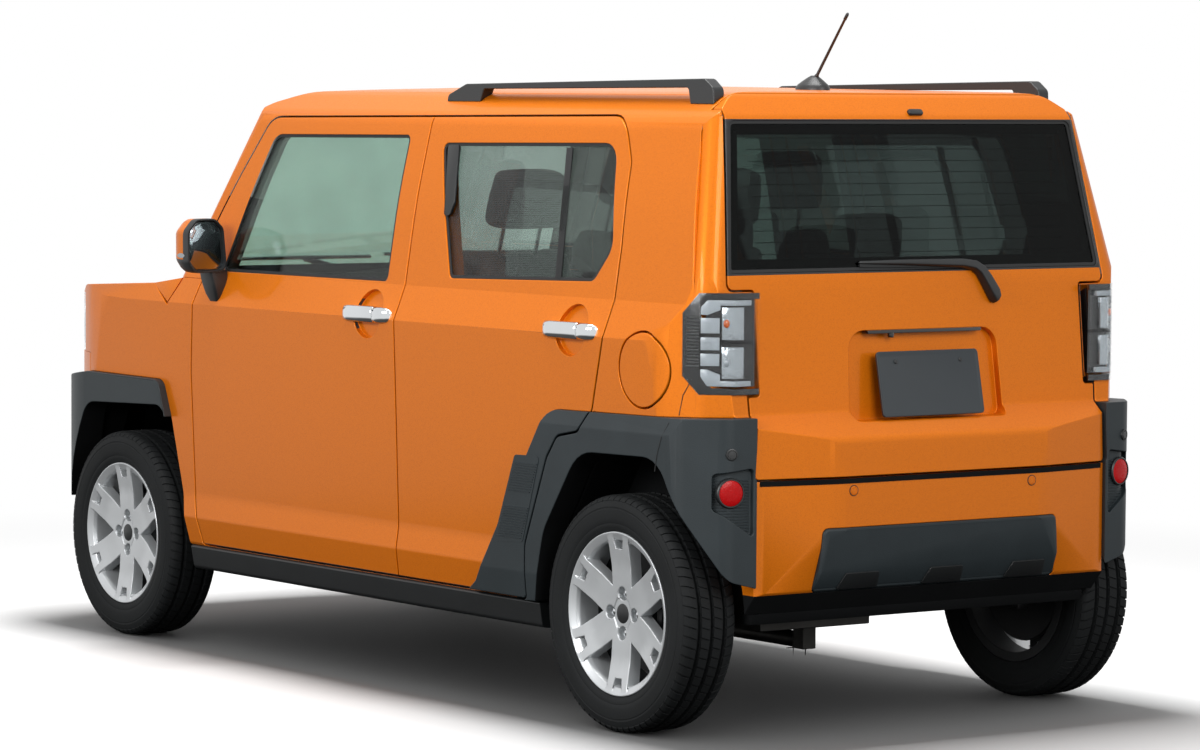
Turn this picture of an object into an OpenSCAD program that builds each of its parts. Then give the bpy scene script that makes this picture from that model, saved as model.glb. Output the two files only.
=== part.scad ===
// Boxy four-door kei car with a tailgate, built as separate panels and running gear.
// The frame: X forward, Y to the car's left, Z up, origin on the ground under the middle of the car.

/* [Overall] */
// Length over the bumpers
overall_len = 3395; // [3250:5:3550]
// Width over the wheel-arch cladding
overall_w = 1475; // [1420:5:1560]
// Height to the top of the roof rails
overall_h = 1630; // [1580:5:1700]
// Distance between the axles as a share of the length
wheelbase_share = 0.724595; // [0.715:0.000005:0.735]
// Rear axle to the rear bumper as a share of the length
rear_overhang_share = 0.119293; // [0.115:0.000001:0.124]
// Depth of a tyre's outer face inside the width over the cladding
tyre_inset = 7.5; // [5:0.5:12]

/* [Body] */
// How far the wheel-arch cladding stands out from the painted sides
clad_out = 12.5; // [10:0.5:16]
// Whole thickness of a side, roof or floor wall
wall = 50; // [40:1:60]
// Thickness of the outer layer of a door, out to its rebate
door_skin = 22; // [18:1:28]
// Width of the rebate round a door's inner layer
door_rebate = 42; // [36:1:50]
// Gap between neighbouring panels
panel_gap = 5; // [4:0.5:6]
// Room for the seal between a door's inner layer and its frame
seal_gap = 12; // [10:1:14]
// Height of the shoulder crease as a share of the overall height
shoulder_share = 0.604294; // [0.59:0.000001:0.62]
// Height of the belt line under the glass as a share of the overall height
belt_share = 0.66135; // [0.65:0.00005:0.67]
// Height of the doors' lower edge as a share of the overall height
sill_share = 0.184049; // [0.178:0.000001:0.195]
// Height of the doors' upper edge as a share of the overall height
door_top_share = 0.93681; // [0.93:0.00001:0.941]
// Height of the floor's underside as a share of the overall height
floor_share = 0.153374; // [0.145:0.000001:0.159]
// Front edge of the front doors as a share of the length from the middle
door_front_share = 0.227688; // [0.225:0.000001:0.231]
// Cut between the front and rear doors as a share of the length from the middle
door_split_share = -0.082474; // [-0.086:0.000001:-0.079]
// Rear edge of the rear doors as a share of the length from the middle
door_rear_share = -0.362003; // [-0.365:0.000001:-0.359]
// Thickness of the window glass
glass_t = 5; // [4:0.5:6]
// Depth of the glass under the painted surface
glass_recess = 6; // [4:0.5:8]
// Radius of the front and rear pillars' outer edges
pillar_round = 45; // [30:1:60]

/* [Wheels] */
// Outer diameter of the tyre
tyre_d = 596; // [580:1:610]
// Width of the tyre
tyre_w = 165; // [155:1:175]
// Diameter of the rim at its lip
rim_d = 412; // [400:1:424]
// Width of the rim
rim_w = 150; // [140:1:156]
// Number of spokes
spokes = 6; // [5:1:7]
// Radius of the stub axle that a wheel turns on
axle_r = 30; // [26:1:34]
// Radial clearance of a wheel on its axle
axle_clear = 0.05; // [0.02:0.01:0.09]
// Number of wheel nuts
nuts = 4; // [4:1:5]
// Circle that the wheel nuts sit on
nut_pcd = 100; // [98:1:114]

/* [Fittings] */
// Number plate width
plate_w = 330; // [320:1:340]
// Number plate height
plate_h = 165; // [160:1:170]
// Steering wheel diameter
steering_d = 370; // [350:1:380]
// Radius of the fuel filler lid
fuel_lid_r = 92; // [85:1:98]
// Width of a roof rail
rail_w = 34; // [28:1:40]
// Radius of the towing eye's socket
tow_r = 9; // [8:0.5:10]
// Depth of the towing eye's socket
tow_depth = 40; // [35:1:45]

/* [Hidden] */
$fn = 48;

paint = "darkorange";
trim = "#2d3134";
dark = "#1b1d1f";
silver = "silver";
cloth = "#55585c";
steel = "#44484c";

// Inner end of the cuts and panels of one side, as a share of the half width
side_start_share = 0.68;
half_len = overall_len / 2;
half_w = overall_w / 2;
half_body = half_w - clad_out;
rear_axle_x = rear_overhang_share * overall_len - half_len;
front_axle_x = rear_axle_x + wheelbase_share * overall_len;
half_track = half_w - tyre_inset - tyre_w / 2;
shoulder_z = shoulder_share * overall_h;
belt_z = belt_share * overall_h;
sill_z = sill_share * overall_h;
door_top_z = door_top_share * overall_h;
floor_z = floor_share * overall_h;
door_front_x = door_front_share * overall_len;
door_split_x = door_split_share * overall_len;
door_rear_x = door_rear_share * overall_len;
tyre_r = tyre_d / 2;
rim_r = rim_d / 2;
arc_steps = 5;
// Overrun of every cut past the face it opens
over = 2 * wall;
far = overall_len;
glass_fit = 0.3;
pane_inset = glass_recess + glass_t;
door_len = door_front_x - door_split_x;
rear_door_len = door_split_x - door_rear_x;
door_h = door_top_z - sill_z;
floor_top = floor_z + wall;

// Outlines with rounded corners, from rows of [x, y, corner radius]
function unit(v) = v / norm(v);
function turn(v, a) = [v[0] * cos(a) - v[1] * sin(a), v[0] * sin(a) + v[1] * cos(a)];
function xy(row) = [row[0], row[1]];
function arc_at(a, b, c, r) = r <= 0 ? [b] :
    let (u = unit(a - b), v = unit(c - b), half = acos(u * v) / 2,
        centre = b + unit(u + v) * r / sin(half), from = b + u * r / tan(half) - centre,
        way = cross(u, v) > 0 ? -1 : 1)
    [for (k = [0:arc_steps]) centre + turn(from, way * (180 - 2 * half) * k / arc_steps)];
function rounded(rows) = [for (i = [0:len(rows) - 1]) let (n = len(rows))
    each arc_at(xy(rows[(i + n - 1) % n]), xy(rows[i]), xy(rows[(i + 1) % n]), rows[i][2])];
function scaled(shares, x0, x1, y0, y1, r1) =
    [for (s = shares) [x0 + s[0] * x1, y0 + s[1] * y1, s[2] * r1]];
function mirrored(rows) = concat(rows,
    [for (i = [len(rows) - 1:-1:0]) [-rows[i][0], rows[i][1], rows[i][2]]]);
module outline(rows) polygon(rounded(rows));

// Extrusions of a side view, a rear view and a plan
module along_y(w) rotate([90, 0, 0]) linear_extrude(w, center = true) children();
module along_x(l) rotate([90, 0, 90]) linear_extrude(l, center = true) children();
module left_half() translate([0, side_start_share * half_w + half_w / 2, 0]) along_y(half_w) children();
module both_sides() { children(); mirror([0, 1, 0]) children(); }
module right_side() mirror([0, 1, 0]) children();
module front_cut(x) translate([x + far / 2, 0, 0]) along_x(far) children();
module rear_cut(x) translate([x - far / 2, 0, 0]) along_x(far) children();

// Side view of the whole body: columns are x share of the length, z and corner radius shares of the height
side_shares = [[-0.471, 0.184, 0.01], [-0.489, 0.228, 0.015], [-0.4985, 0.319, 0.02], [-0.4985, 0.392, 0],
    [-0.4978, 0.457, 0.018], [-0.4778, 0.4957, 0.008], [-0.4683, 0.693, 0], [-0.4462, 0.9417, 0.03],
    [-0.430, 0.9816, 0.03], [-0.118, 0.989, 0.6], [0.138, 0.975, 0.3], [0.1826, 0.952, 0.06],
    [0.271, 0.638, 0], [0.424, 0.6227, 0.06], [0.483, 0.580, 0.03], [0.486, 0.3926, 0],
    [0.5, 0.368, 0.01], [0.5, 0.2577, 0.02], [0.470, 0.184, 0.02]];
function side_view(shares) = scaled(shares, 0, overall_len, 0, overall_h, overall_h);
// Ends of the floor's flat underside and of its raised rear part: columns are x share, steps up
floor_shares = [[0.435, 0], [-0.236, 0], [-0.268, 1], [-0.442, 1]];
floor_step = 0.103 * overall_h;
side_rows = concat(side_view(side_shares),
    [for (s = floor_shares) [s[0] * overall_len, floor_z + s[1] * floor_step, 0]]);

// Section across the body, left half: columns are y share, band, share of the band's height and
// corner radius share of the half width; the bands end at the heights listed first
band_z = [floor_z, sill_z, shoulder_z, belt_z, overall_h];
belt_y_share = 0.949;
roof_y_share = 0.828;
roof_z_share = 0.815;
section_shares = [[0.90, 0, 0, 0.03], [0.973, 1, 0, 0.02], [0.986, 1, 0.11, 0.05], [0.974, 1, 0.20, 0.20],
    [0.990, 1, 0.70, 2.5], [1.0, 2, 0, 0.01], [belt_y_share, 3, 0, 0.01], [0.899, 3, 0.42, 3],
    [roof_y_share, 3, roof_z_share, 0.10], [0.70, 3, 0.937, 0.16], [0.30, 3, 0.966, 2]];
section_rows = mirrored([for (s = section_shares)
    [s[0] * half_body, band_z[s[1]] + s[2] * (band_z[min(s[1] + 1, 4)] - band_z[s[1]]), s[3] * half_body]]);

// Plan of the body, left half: columns are x share of the length, y and radius shares of the half width
plan_shares = [[0.5, 0.25, 1.0], [0.492, 0.56, 0.4], [0.462, 0.86, 0.2], [0.405, 1.0, 0.8],
    [-0.425, 1.0, 0.3], [-0.460, 0.925, 0.14], [-0.487, 0.80, 0.16], [-0.4985, 0.45, 0.8], [-0.5, 0.20, 0]];
function both_halves(rows) = concat(rows,
    [for (i = [len(rows) - 1:-1:0]) [rows[i][0], -rows[i][1], rows[i][2]]]);
function plan_rows(shares, half) = both_halves(scaled(shares, 0, overall_len, 0, half, half));

// Edges of the pillars from belt to roof: [x share, z share] of the lower and upper ends
rear_edge_shares = [[-0.4683, 0.693], [-0.4462, 0.9417]];
front_edge_shares = [[0.271, 0.638], [0.1826, 0.952]];
function side_y(z) = half_body * (belt_y_share
    + (roof_y_share - belt_y_share) * (z - belt_z) / (roof_z_share * (overall_h - belt_z)));
function edge_point(s) = [s[0] * overall_len, side_y(s[1] * overall_h), s[1] * overall_h];
// A cutter that rounds a pillar's edge; way is 1 where the body lies ahead of the edge and -1 behind it
module pillar_cut(ends, way, r) {
    low = edge_point(ends[0]);
    run = edge_point(ends[1]) - low;
    lean = asin(-run[1] / norm(run));
    rake = atan2(run[0], run[2]);
    arc = [for (k = [0:arc_steps]) let (a = 90 + 90 * k / arc_steps)
        [way * r * (1 + cos(a)), r * (sin(a) - 1)]];
    translate(low) rotate([lean, rake, 0]) translate([0, 0, -wall])
        linear_extrude(norm(run) + over + wall)
            polygon(concat([[-way * over, over], [way * r, over]], arc, [[-way * over, -r]]));
}

// The body's closed outer form, drawn in by t on every side
module body_form(t) difference() {
    intersection() {
        along_y(2 * overall_w) offset(delta = -t) outline(side_rows);
        along_x(2 * overall_len) offset(delta = -t) outline(section_rows);
        linear_extrude(2 * overall_h) offset(delta = -t) outline(plan_rows(plan_shares, half_body));
    }
    both_sides() {
        pillar_cut(rear_edge_shares, 1, pillar_round);
        pillar_cut(front_edge_shares, -1, pillar_round);
    }
}
module shell(from, to) difference() {
    body_form(from);
    body_form(to);
}

// Side-view areas of the doors and their windows: columns are x share of the door's length from the cut
// between the doors, z and corner radius shares of the door's height
front_door_shares = [[0.960, 0, 0.01], [1.002, 0.106, 0.05], [1.0085, 0.40, 0.25], [0.990, 0.571, 0.05],
    [0.958, 0.746, 0.03], [0.767, 0.993, 0.06], [0, 1, 0], [0, 0, 0]];
front_window_shares = [[0.890, 0.636, 0.01], [0.733, 0.9535, 0.04], [0.0835, 0.9585, 0.015],
    [0.0835, 0.639, 0.015]];
rear_door_shares = [[0, 0, 0], [0, 1, 0], [0.915, 1.008, 0.08], [0.982, 0.913, 0.05], [1, 0.742, 0.08],
    [1, 0.558, 0.06], [0.945, 0.4075, 0.03], [0.908, 0.362, 0.02], [0.8135, 0.349, 0.03],
    [0.766, 0.3016, 0.05], [0.666, 0.114, 0.06], [0.666, 0, 0.01]];
rear_window_shares = [[0.216, 0.655, 0.015], [0.076, 0.943, 0.015], [0.902, 0.951, 0.05],
    [0.962, 0.7376, 0.05], [0.8946, 0.668, 0.03]];
module front_area(shares) outline(scaled(shares, door_split_x, door_len, sill_z, door_h, door_h));
module rear_area(shares) outline(scaled(shares, door_split_x, -rear_door_len, sill_z, door_h, door_h));
module front_door_area() front_area(front_door_shares);
module rear_door_area() rear_area(rear_door_shares);

// Wheel-arch openings: columns are x from the axle, z from the ground and corner radius, in tyre radii
front_arch_shares = [[-1.24, -0.3, 0], [-1.22, 0.97, 0.2], [-0.87, 2.31, 0.18], [0.61, 2.26, 0.25],
    [1.06, 1.50, 0.3], [1.30, 1.05, 0.1], [1.30, -0.3, 0]];
rear_arch_shares = [[-1.42, -0.3, 0], [-1.30, 1.20, 0.2], [-0.62, 2.35, 0.35], [0.50, 2.33, 0.4],
    [1.0, 1.62, 0.5], [1.17, 0.9, 0.2], [1.17, -0.3, 0]];
module wheel_area(shares, x) outline(scaled(shares, x, tyre_r, 0, tyre_r, tyre_r));
// Inner faces of the wheel wells as shares of the half width
front_well_share = 0.49;
rear_well_share = 0.70;
front_well_y = front_well_share * half_w;
rear_well_y = rear_well_share * half_w;
module outside_of(y) both_sides() translate([0, y + half_w / 2, 0]) along_y(half_w) children();
module wheel_wells() {
    outside_of(front_well_y) wheel_area(front_arch_shares, front_axle_x);
    outside_of(rear_well_y) wheel_area(rear_arch_shares, rear_axle_x);
}

// Areas of the black wheel-arch cladding in side view, as the arches above
front_clad_shares = [[-0.90, 2.20, 0], [-0.77, 2.55, 0.12], [0.62, 2.56, 0.1], [1.30, 2.48, 0],
    [1.36, 1.40, 0], [0.8, 1.0, 0]];
rear_clad_shares = [[2.18, 1.0, 0], [2.04, 1.10, 0], [0.985, 2.66, 0.25], [-2, 2.71, 0], [-2, 1.25, 0],
    [-1.2, 1.22, 0], [0, 1.8, 0], [0.9, 1.0, 0]];
module front_clad_area() wheel_area(front_clad_shares, front_axle_x);
module rear_clad_area() wheel_area(rear_clad_shares, rear_axle_x);
clad_depth = 0.9 * wall;
// Section of the cladding, left half: y share of the half width, z share of the tyre's diameter, radius share
clad_section_shares = [[0.965, 0.2, 0.02], [1.0, 0.62, 0.1], [1.0, 1.27, 0.03], [0.955, 1.45, 0]];
clad_plan_shares = [[0.497, 0.56, 0.3], [0.478, 0.86, 0.2], [0.425, 1.0, 0.4], [-0.455, 1.0, 0.12],
    [-0.4865, 0.885, 0.08], [-0.4955, 0.60, 0.3]];
module clad_form(t = 0) intersection() {
    along_x(2 * overall_len) offset(delta = -t)
        outline(mirrored(scaled(clad_section_shares, 0, half_w, 0, tyre_d, half_w)));
    linear_extrude(2 * overall_h) offset(delta = -t) outline(plan_rows(clad_plan_shares, half_w));
}

// Tailgate in rear view, left half: y share of the half body width, z and radius shares of the height
tailgate_low_share = 0.40;
ear_y_share = 0.775;
ear_z_share = 0.5225;
tailgate_shares = [[0.784, tailgate_low_share, 0.006], [0.772, 0.494, 0], [ear_y_share, ear_z_share, 0.003],
    [0.728, ear_z_share, 0.006], [0.728, 0.6832, 0.006], [0.842, 0.6832, 0.01], [0.777, 0.940, 0.01],
    [0.74, 1.05, 0]];
ear_y = ear_y_share * half_body;
ear_z = ear_z_share * overall_h;
tailgate_window_shares = [[0.829, 0.708, 0.008], [0.765, 0.937, 0.012]];
module rear_view(shares) outline(mirrored(scaled(shares, 0, half_body, 0, overall_h, overall_h)));
module tailgate_area() rear_view(tailgate_shares);
// Side-view band that holds the tailgate's thickness
tailgate_front_share = 0.4305;
tailgate_band_shares = [[-0.52, 0.39, 0], [-0.52, 1.1, 0], [-tailgate_front_share, 1.1, 0],
    [-tailgate_front_share, 0.952, 0], [-0.435, 0.936, 0], [-0.4525, 0.70, 0], [-0.4595, 0.50, 0],
    [-0.476, 0.455, 0], [-0.482, 0.39, 0]];
tailgate_front_x = -tailgate_front_share * overall_len;

// Splits of the roof panel, windscreen, bonnet, nose and bumpers
roof_half = 0.70 * half_body;
screen_top_share = 0.925;
screen_low_share = 0.650;
screen_shares = [[0.868, screen_low_share, 0.012], [0.765, screen_top_share, 0.03]];
screen_top_z = screen_top_share * overall_h;
bonnet_half = 0.84 * half_body;
bonnet_rear_x = 0.288 * overall_len;
bonnet_low_z = 0.590 * overall_h;
bonnet_t = 0.56 * wall;
fender_rear_x = 0.20 * overall_len;
fender_top_z = 0.648 * overall_h;
nose_x = 0.408 * overall_len;
bumper_top_z = 0.500 * overall_h;
rear_bumper_top_z = tailgate_low_share * overall_h - panel_gap;
rear_bumper_half = 0.784 * half_body;
rear_bumper_x = -0.46 * overall_len;
// Headlamp in front view, left half: y share of the half body width, z and radius shares of the height
headlamp_shares = [[0.60, 0.5003, 0.02], [1.05, 0.5003, 0], [1.05, 0.606, 0], [0.853, 0.606, 0],
    [0.847, 0.580, 0], [0.60, 0.580, 0.02]];
headlamp_x = 0.430 * overall_len;
lamp_depth = 1.2 * wall;
module left_view(shares) outline(scaled(shares, 0, half_body, 0, overall_h, overall_h));
module headlamp_room(g) both_sides() front_cut(headlamp_x - g) offset(delta = g) left_view(headlamp_shares);
// Grille between the headlamps, left half
grille_shares = [[0.585, 0.5003, 0], [0.585, 0.583, 0.01]];
intake_shares = [[0.50, 0.235, 0.01], [0.56, 0.345, 0.01]];
// Tail lamp in side view: x share of the length, z and radius shares of the height
tail_lamp_low_share = 0.533;
tail_lamp_front_share = 0.455;
tail_lamp_shares = [[-0.52, tail_lamp_low_share, 0], [-0.470, tail_lamp_low_share, 0.03],
    [-tail_lamp_front_share, 0.560, 0.02], [-tail_lamp_front_share, 0.632, 0.02],
    [-0.465, 0.680, 0.03], [-0.52, 0.680, 0]];
tail_lamp_low_z = tail_lamp_low_share * overall_h;
tail_lamp_x = -tail_lamp_front_share * overall_len;
tail_lamp_y = 0.7355 * half_body;
module box(low, high) translate(low) cube(high - low);
module tail_lamp_room(g) intersection() {
    along_y(far) offset(delta = g) outline(side_view(tail_lamp_shares));
    both_sides() box([-far, tail_lamp_y - g, 0], [0, far, far]);
}
// Cuts for the doors in the body's frame: the outer layer with its gap and the inner opening with its seal
module door_cuts() both_sides() {
    difference() {
        left_half() offset(delta = panel_gap / 2) { front_door_area(); rear_door_area(); }
        body_form(door_skin + panel_gap);
    }
    left_half() offset(delta = seal_gap - door_rebate) front_door_area();
    left_half() offset(delta = seal_gap - door_rebate) rear_door_area();
}
seam = 0.3;
rocker_y = half_body - 1.5 * wall;
rocker_top = floor_top + wall;
skirt_low_z = 0.137 * overall_h;
skirt_top_z = sill_z - panel_gap - seam;
skirt_rear_x = rear_axle_x + 1.18 * tyre_r;
skirt_front_x = front_axle_x - 1.25 * tyre_r;
skirt_in_y = rocker_y + wall / 2;
fuel_lid_at = [-0.410 * overall_len, half_body, 0.5595 * overall_h];
fuel_lid_t = 0.4 * wall;
fender_low_z = 0.181 * overall_h;

// One side of the body: pillars, roof edge, sill and rear quarter, open for the doors
module body_side(lid = 0) {
    side_frame(lid);
    door_leaves(rear_leaf_x);
    if (lid > 0) lid_leaf();
}
module side_frame(lid) difference() {
    intersection() {
        shell(0, wall);
        box([-far, roof_half, floor_z], [cowl_front_x, far, far]);
    }
    box([fender_rear_x - seam, 0, 0], [far, far, fender_top_z + seam]);
    door_cuts();
    along_y(far) offset(delta = seam) rear_clad_area();
    tail_lamp_room(seam);
    box([tailgate_front_x - over, -far, screen_top_z], [far, roof_half + seam, far]);
    front_cut(0) rear_view(screen_shares);
    box([cowl_rear_x - over, -far, 0], [far, bonnet_half + panel_gap, screen_low_z + seam]);
    rear_cut(tailgate_front_x + panel_gap) offset(delta = panel_gap) tailgate_area();
    box([-far, -far, 0], [rear_bumper_x, rear_bumper_half + panel_gap, rear_bumper_top_z + panel_gap]);
    box([-far, -far, 0], [far, rocker_y, rocker_top]);
    box([-far, -far, 0], [0, rear_well_y + seam, shoulder_z]);
    box([-far, -far, ear_z], [tail_lamp_x, ear_y + panel_gap, tail_lamp_low_z]);
    box([-far, skirt_in_y, 0], [far, far, skirt_top_z + seam]);
    wheel_wells();
    if (lid > 0) fuel_lid_body(panel_gap);
}
cowl_front_x = bonnet_rear_x - panel_gap;
module fuel_lid_body(g) translate(fuel_lid_at) rotate([90, 0, 0])
    cylinder(r = fuel_lid_r + g, h = 4 * fuel_lid_t, center = true);
module fuel_lid() color(paint) intersection() {
    shell(0, fuel_lid_t);
    fuel_lid_body(0);
}

// Hinge leaves stand on the frame behind a door's front edge and reach to the door's outer layer
leaf_shares = [0.20, 0.48];
leaf_h = 1.2 * wall;
leaf_w = 0.5 * wall;
module door_leaves(x) intersection() {
    shell(door_skin + seam, door_skin + 2 * panel_gap);
    for (s = leaf_shares) translate([x - leaf_w, half_w / 2, sill_z + s * door_h])
        cube([leaf_w, half_w, leaf_h]);
}
front_leaf_x = door_front_x - panel_gap;
rear_leaf_x = door_split_x - panel_gap;
module lid_leaf() intersection() {
    shell(fuel_lid_t + seam, wall);
    translate(fuel_lid_at) translate([fuel_lid_r / 2, -wall, -leaf_w / 2]) cube([leaf_w, wall, leaf_w]);
}

// Fixed front wings with the strips beside the bonnet
module front_fenders() color(paint) {
    wings();
    both_sides() door_leaves(front_leaf_x);
}
module wings() difference() {
    intersection() {
        shell(0, wall);
        box([fender_rear_x, -far, fender_low_z], [far, far, fender_top_z]);
    }
    box([-far, -bonnet_half - panel_gap, 0], [far, bonnet_half + panel_gap, far]);
    box([nose_x - seam, -far, 0], [far, far, bumper_top_z + seam]);
    door_cuts();
    along_y(far) offset(delta = seam) front_clad_area();
    headlamp_room(seam);
    box([-far, -rocker_y, 0], [far, rocker_y, rocker_top]);
    wheel_wells();
}
module bonnet() color(paint) intersection() {
    shell(0, bonnet_t);
    box([bonnet_rear_x, -bonnet_half, bonnet_low_z], [far, bonnet_half, far]);
}
module front_bumper() color(paint) difference() {
    union() {
        intersection() {
            shell(0, wall);
            box([nose_x, -far, 0], [far, far, bumper_top_z]);
        }
        on_tow_axis(tow_face_x - 1.6 * tow_depth) cylinder(r = 2.2 * tow_r, h = 1.6 * tow_depth);
    }
    along_y(far) offset(delta = seam) front_clad_area();
    wheel_wells();
    front_cut(headlamp_x) rear_view(intake_shares);
    on_tow_axis(tow_face_x - tow_depth) cylinder(r = tow_r, h = 2 * tow_depth);
    on_tow_axis(tow_face_x) cylinder(r = 2 * tow_r, h = far);
}
module on_tow_axis(x) translate([x, tow_y, tow_z]) rotate([0, 90, 0]) children();
tow_face_x = 0.476 * overall_len;
tow_y = -0.70 * half_body;
tow_z = 0.30 * overall_h;
module headlamps() color("white") intersection() {
    shell(0, lamp_depth);
    headlamp_room(0);
}
module grille() color(dark) intersection() {
    shell(0, wall);
    front_cut(headlamp_x) rear_view(grille_shares);
}

// Black cladding round the wheel arches
module front_arch_cladding() color(trim) difference() {
    intersection() {
        clad_form();
        along_y(far) front_clad_area();
    }
    body_form(clad_depth);
    wheel_wells();
}
// Pocket for the reflector in each rear corner: y shares of the half body, z and radius shares of the height
reflector_pocket_shares = [[0.798, 0.314, 0.004], [0.932, 0.356, 0.008], [0.932, 0.410, 0.006],
    [0.798, 0.418, 0.006]];
module reflector_pockets() difference() {
    both_sides() rear_cut(rear_axle_x)
        outline(scaled(reflector_pocket_shares, 0, half_body, 0, overall_h, overall_h));
    clad_form(pocket_depth);
}
module rear_arch_cladding() color(trim) difference() {
    intersection() {
        clad_form();
        along_y(far) rear_clad_area();
    }
    body_form(clad_depth);
    wheel_wells();
    along_y(far) offset(delta = panel_gap / 2) rear_door_area();
    rear_cut(rear_bumper_x + wall) offset(delta = panel_gap) tailgate_area();
    box([-far, -rear_bumper_half - seam, 0], [rear_axle_x, rear_bumper_half + seam, far]);
    box([rear_axle_x, -rocker_y, 0], [far, rocker_y, far]);
    both_sides() box([-far, 0, 0], [far, skirt_in_y, rocker_top + seam]);
    skirt_space();
    reflector_pockets();
}
module skirt_space() both_sides() box([skirt_rear_x, rocker_y, 0], [skirt_front_x, far, skirt_top_z + seam]);
module floor_space() box([-far, -far, 0], [far, rocker_y + panel_gap, floor_top + floor_step + wall]);
module door_cladding() color(trim) difference() {
    intersection() {
        clad_form();
        left_half() intersection() {
            rear_clad_area();
            offset(delta = -panel_gap / 2) rear_door_area();
        }
    }
    body_form(door_skin);
    floor_space();
}
// Sill covers under the doors: y share of the half width, z share from the lower to the upper edge
skirt_shares = [[0.885, 0, 0.01], [0.948, 0.05, 0.02], [0.963, 0.95, 0], [0.955, 1, 0], [0.885, 1, 0]];
module side_skirts() color(trim) difference() {
    translate([(skirt_front_x + skirt_rear_x) / 2, 0, 0]) along_x(skirt_front_x - skirt_rear_x)
        outline(mirrored(scaled(skirt_shares, 0, half_w, skirt_low_z, skirt_top_z - skirt_low_z, half_w)));
    box([-far, -rocker_y - seam, -far], [far, rocker_y + seam, far]);
    intersection() {
        body_form(-seam);
        box([-far, -skirt_in_y - seam, 0], [far, skirt_in_y + seam, far]);
    }
    wheel_wells();
}

// Doors, each as thick as its whole wall, with a thin outer layer beyond the rebate
module door() difference() {
    intersection() {
        shell(0, wall);
        left_half() offset(delta = -panel_gap / 2) children(0);
    }
    intersection() {
        body_form(door_skin);
        left_half() difference() {
            offset(delta = panel_gap) children(0);
            offset(delta = -door_rebate) children(0);
        }
    }
    left_half() children(1);
    floor_space();
}
handle_len = 0.075 * overall_len;
handle_h = 0.026 * overall_h;
handle_out = 0.016 * overall_h;
handle_z = 0.611 * overall_h;
pocket_r = 1.3 * wall;
pocket_depth = 0.28 * wall;
front_handle_x = door_split_x + 0.127 * door_len;
rear_handle_x = door_rear_x + 0.150 * rear_door_len;
module handle_pocket(x) translate([x, half_body + over - wall, handle_z]) rotate([90, 0, 0])
    cylinder(r = pocket_r, h = 2 * over, center = true);
module pocket_cut(x) difference() {
    handle_pocket(x);
    body_form(pocket_depth);
}
module front_door() color(paint) difference() {
    door() { front_door_area(); front_area(front_window_shares); }
    pocket_cut(front_handle_x);
}
module rear_door() color(paint) difference() {
    door() { rear_door_area(); rear_area(rear_window_shares); }
    pocket_cut(rear_handle_x);
    difference() {
        left_half() rear_clad_area();
        body_form(door_skin + seam);
    }
}
module handle(x) color(silver) difference() {
    translate([x, half_w - handle_out / 2, handle_z]) rotate([90, 0, 0])
        linear_extrude(handle_out + pocket_depth, center = true)
            outline([for (s = [[-1, -1], [1, -1], [1, 1], [-1, 1]])
                [s[0] * handle_len / 2, s[1] * handle_h / 2, handle_h / 4]]);
    intersection() {
        body_form(0);
        difference() {
            along_y(far) translate([x - far / 2, 0]) square(far);
            handle_pocket(x);
        }
    }
    translate([x, half_body - pocket_depth, handle_z])
        cube([2 * pocket_r, 2 * pocket_depth, 2 * handle_h], center = true);
}
module door_glass() color("lightblue", 0.5) intersection() {
    shell(glass_recess, pane_inset);
    left_half() offset(delta = -glass_fit) children();
}
// Door mirror: rows in rear view and plan as shares of its own width, height and depth
mirror_w = 0.092 * overall_w;
mirror_h = 0.100 * overall_h;
mirror_d = 0.0285 * overall_len;
mirror_at = [0.180 * overall_len, 0.952 * half_w, 0.657 * overall_h];
mirror_rear_shares = [[0, 0, 0.2], [0.9, 0, 0.25], [1, 0.6, 0.3], [0.93, 1, 0.25], [0.1, 1, 0.2]];
mirror_plan_shares = [[0, 0, 0], [1, 0.25, 0.2], [0.75, 1, 0.3], [0, 0.9, 0.3]];
mirror_foot_shares = [[-0.45, -0.48, 0.04], [0.15, -0.48, 0.08], [0.32, 0.02, 0.02], [0.3, 0.2, 0],
    [-0.45, 0.2, 0]];
foot_front_share = 0.85;
module door_mirror() color(paint) {
    intersection() {
        translate(mirror_at) rotate([90, 0, 90]) linear_extrude(mirror_d * 2, center = true)
            outline(scaled(mirror_rear_shares, 0, mirror_w, 0, mirror_h, mirror_h));
        translate(mirror_at) linear_extrude(mirror_h)
            outline(scaled(mirror_plan_shares, 0, mirror_d, 0, mirror_w, mirror_d));
    }
    difference() {
        translate(mirror_at) rotate([90, 0, 90]) linear_extrude(foot_front_share * mirror_d)
            outline(scaled(mirror_foot_shares, 0, mirror_w, 0, mirror_h, mirror_h));
        body_form(-seam);
        box([-far, -far, belt_z], [far, mirror_at[1], far]);
    }
}

// Roof, glass and cowl
roof_leaf_y = 0.45 * half_body;
module roof_panel() color(paint) {
    roof_skin();
    both_sides() intersection() {
        shell(panel_gap, wall);
        box([tailgate_front_x + seam, roof_leaf_y, screen_top_z],
            [tailgate_front_x + 2 * panel_gap, roof_leaf_y + leaf_w, far]);
    }
}
module roof_skin() difference() {
    intersection() {
        shell(0, wall);
        box([tailgate_front_x + panel_gap, -roof_half, screen_top_z], [far, roof_half, far]);
    }
    front_cut(0) rear_view(screen_shares);
}
module windscreen() color("lightblue", 0.5) intersection() {
    shell(glass_recess, pane_inset);
    front_cut(0) offset(delta = -glass_fit) rear_view(screen_shares);
}
screen_low_z = screen_low_share * overall_h;
cowl_low_z = belt_z - 2 * wall;
cowl_half = bonnet_half + panel_gap - seam;
cowl_rear_x = 0.255 * overall_len;
function edge_rake(ends) = let (run = edge_point(ends[1]) - edge_point(ends[0])) atan2(abs(run[0]), run[2]);
function edge_foot(ends) = [edge_point(ends[0])[0], 0, edge_point(ends[0])[2]];
wiper_t = 0.18 * wall;
wiper_foot = 0.02 * half_w;
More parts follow.
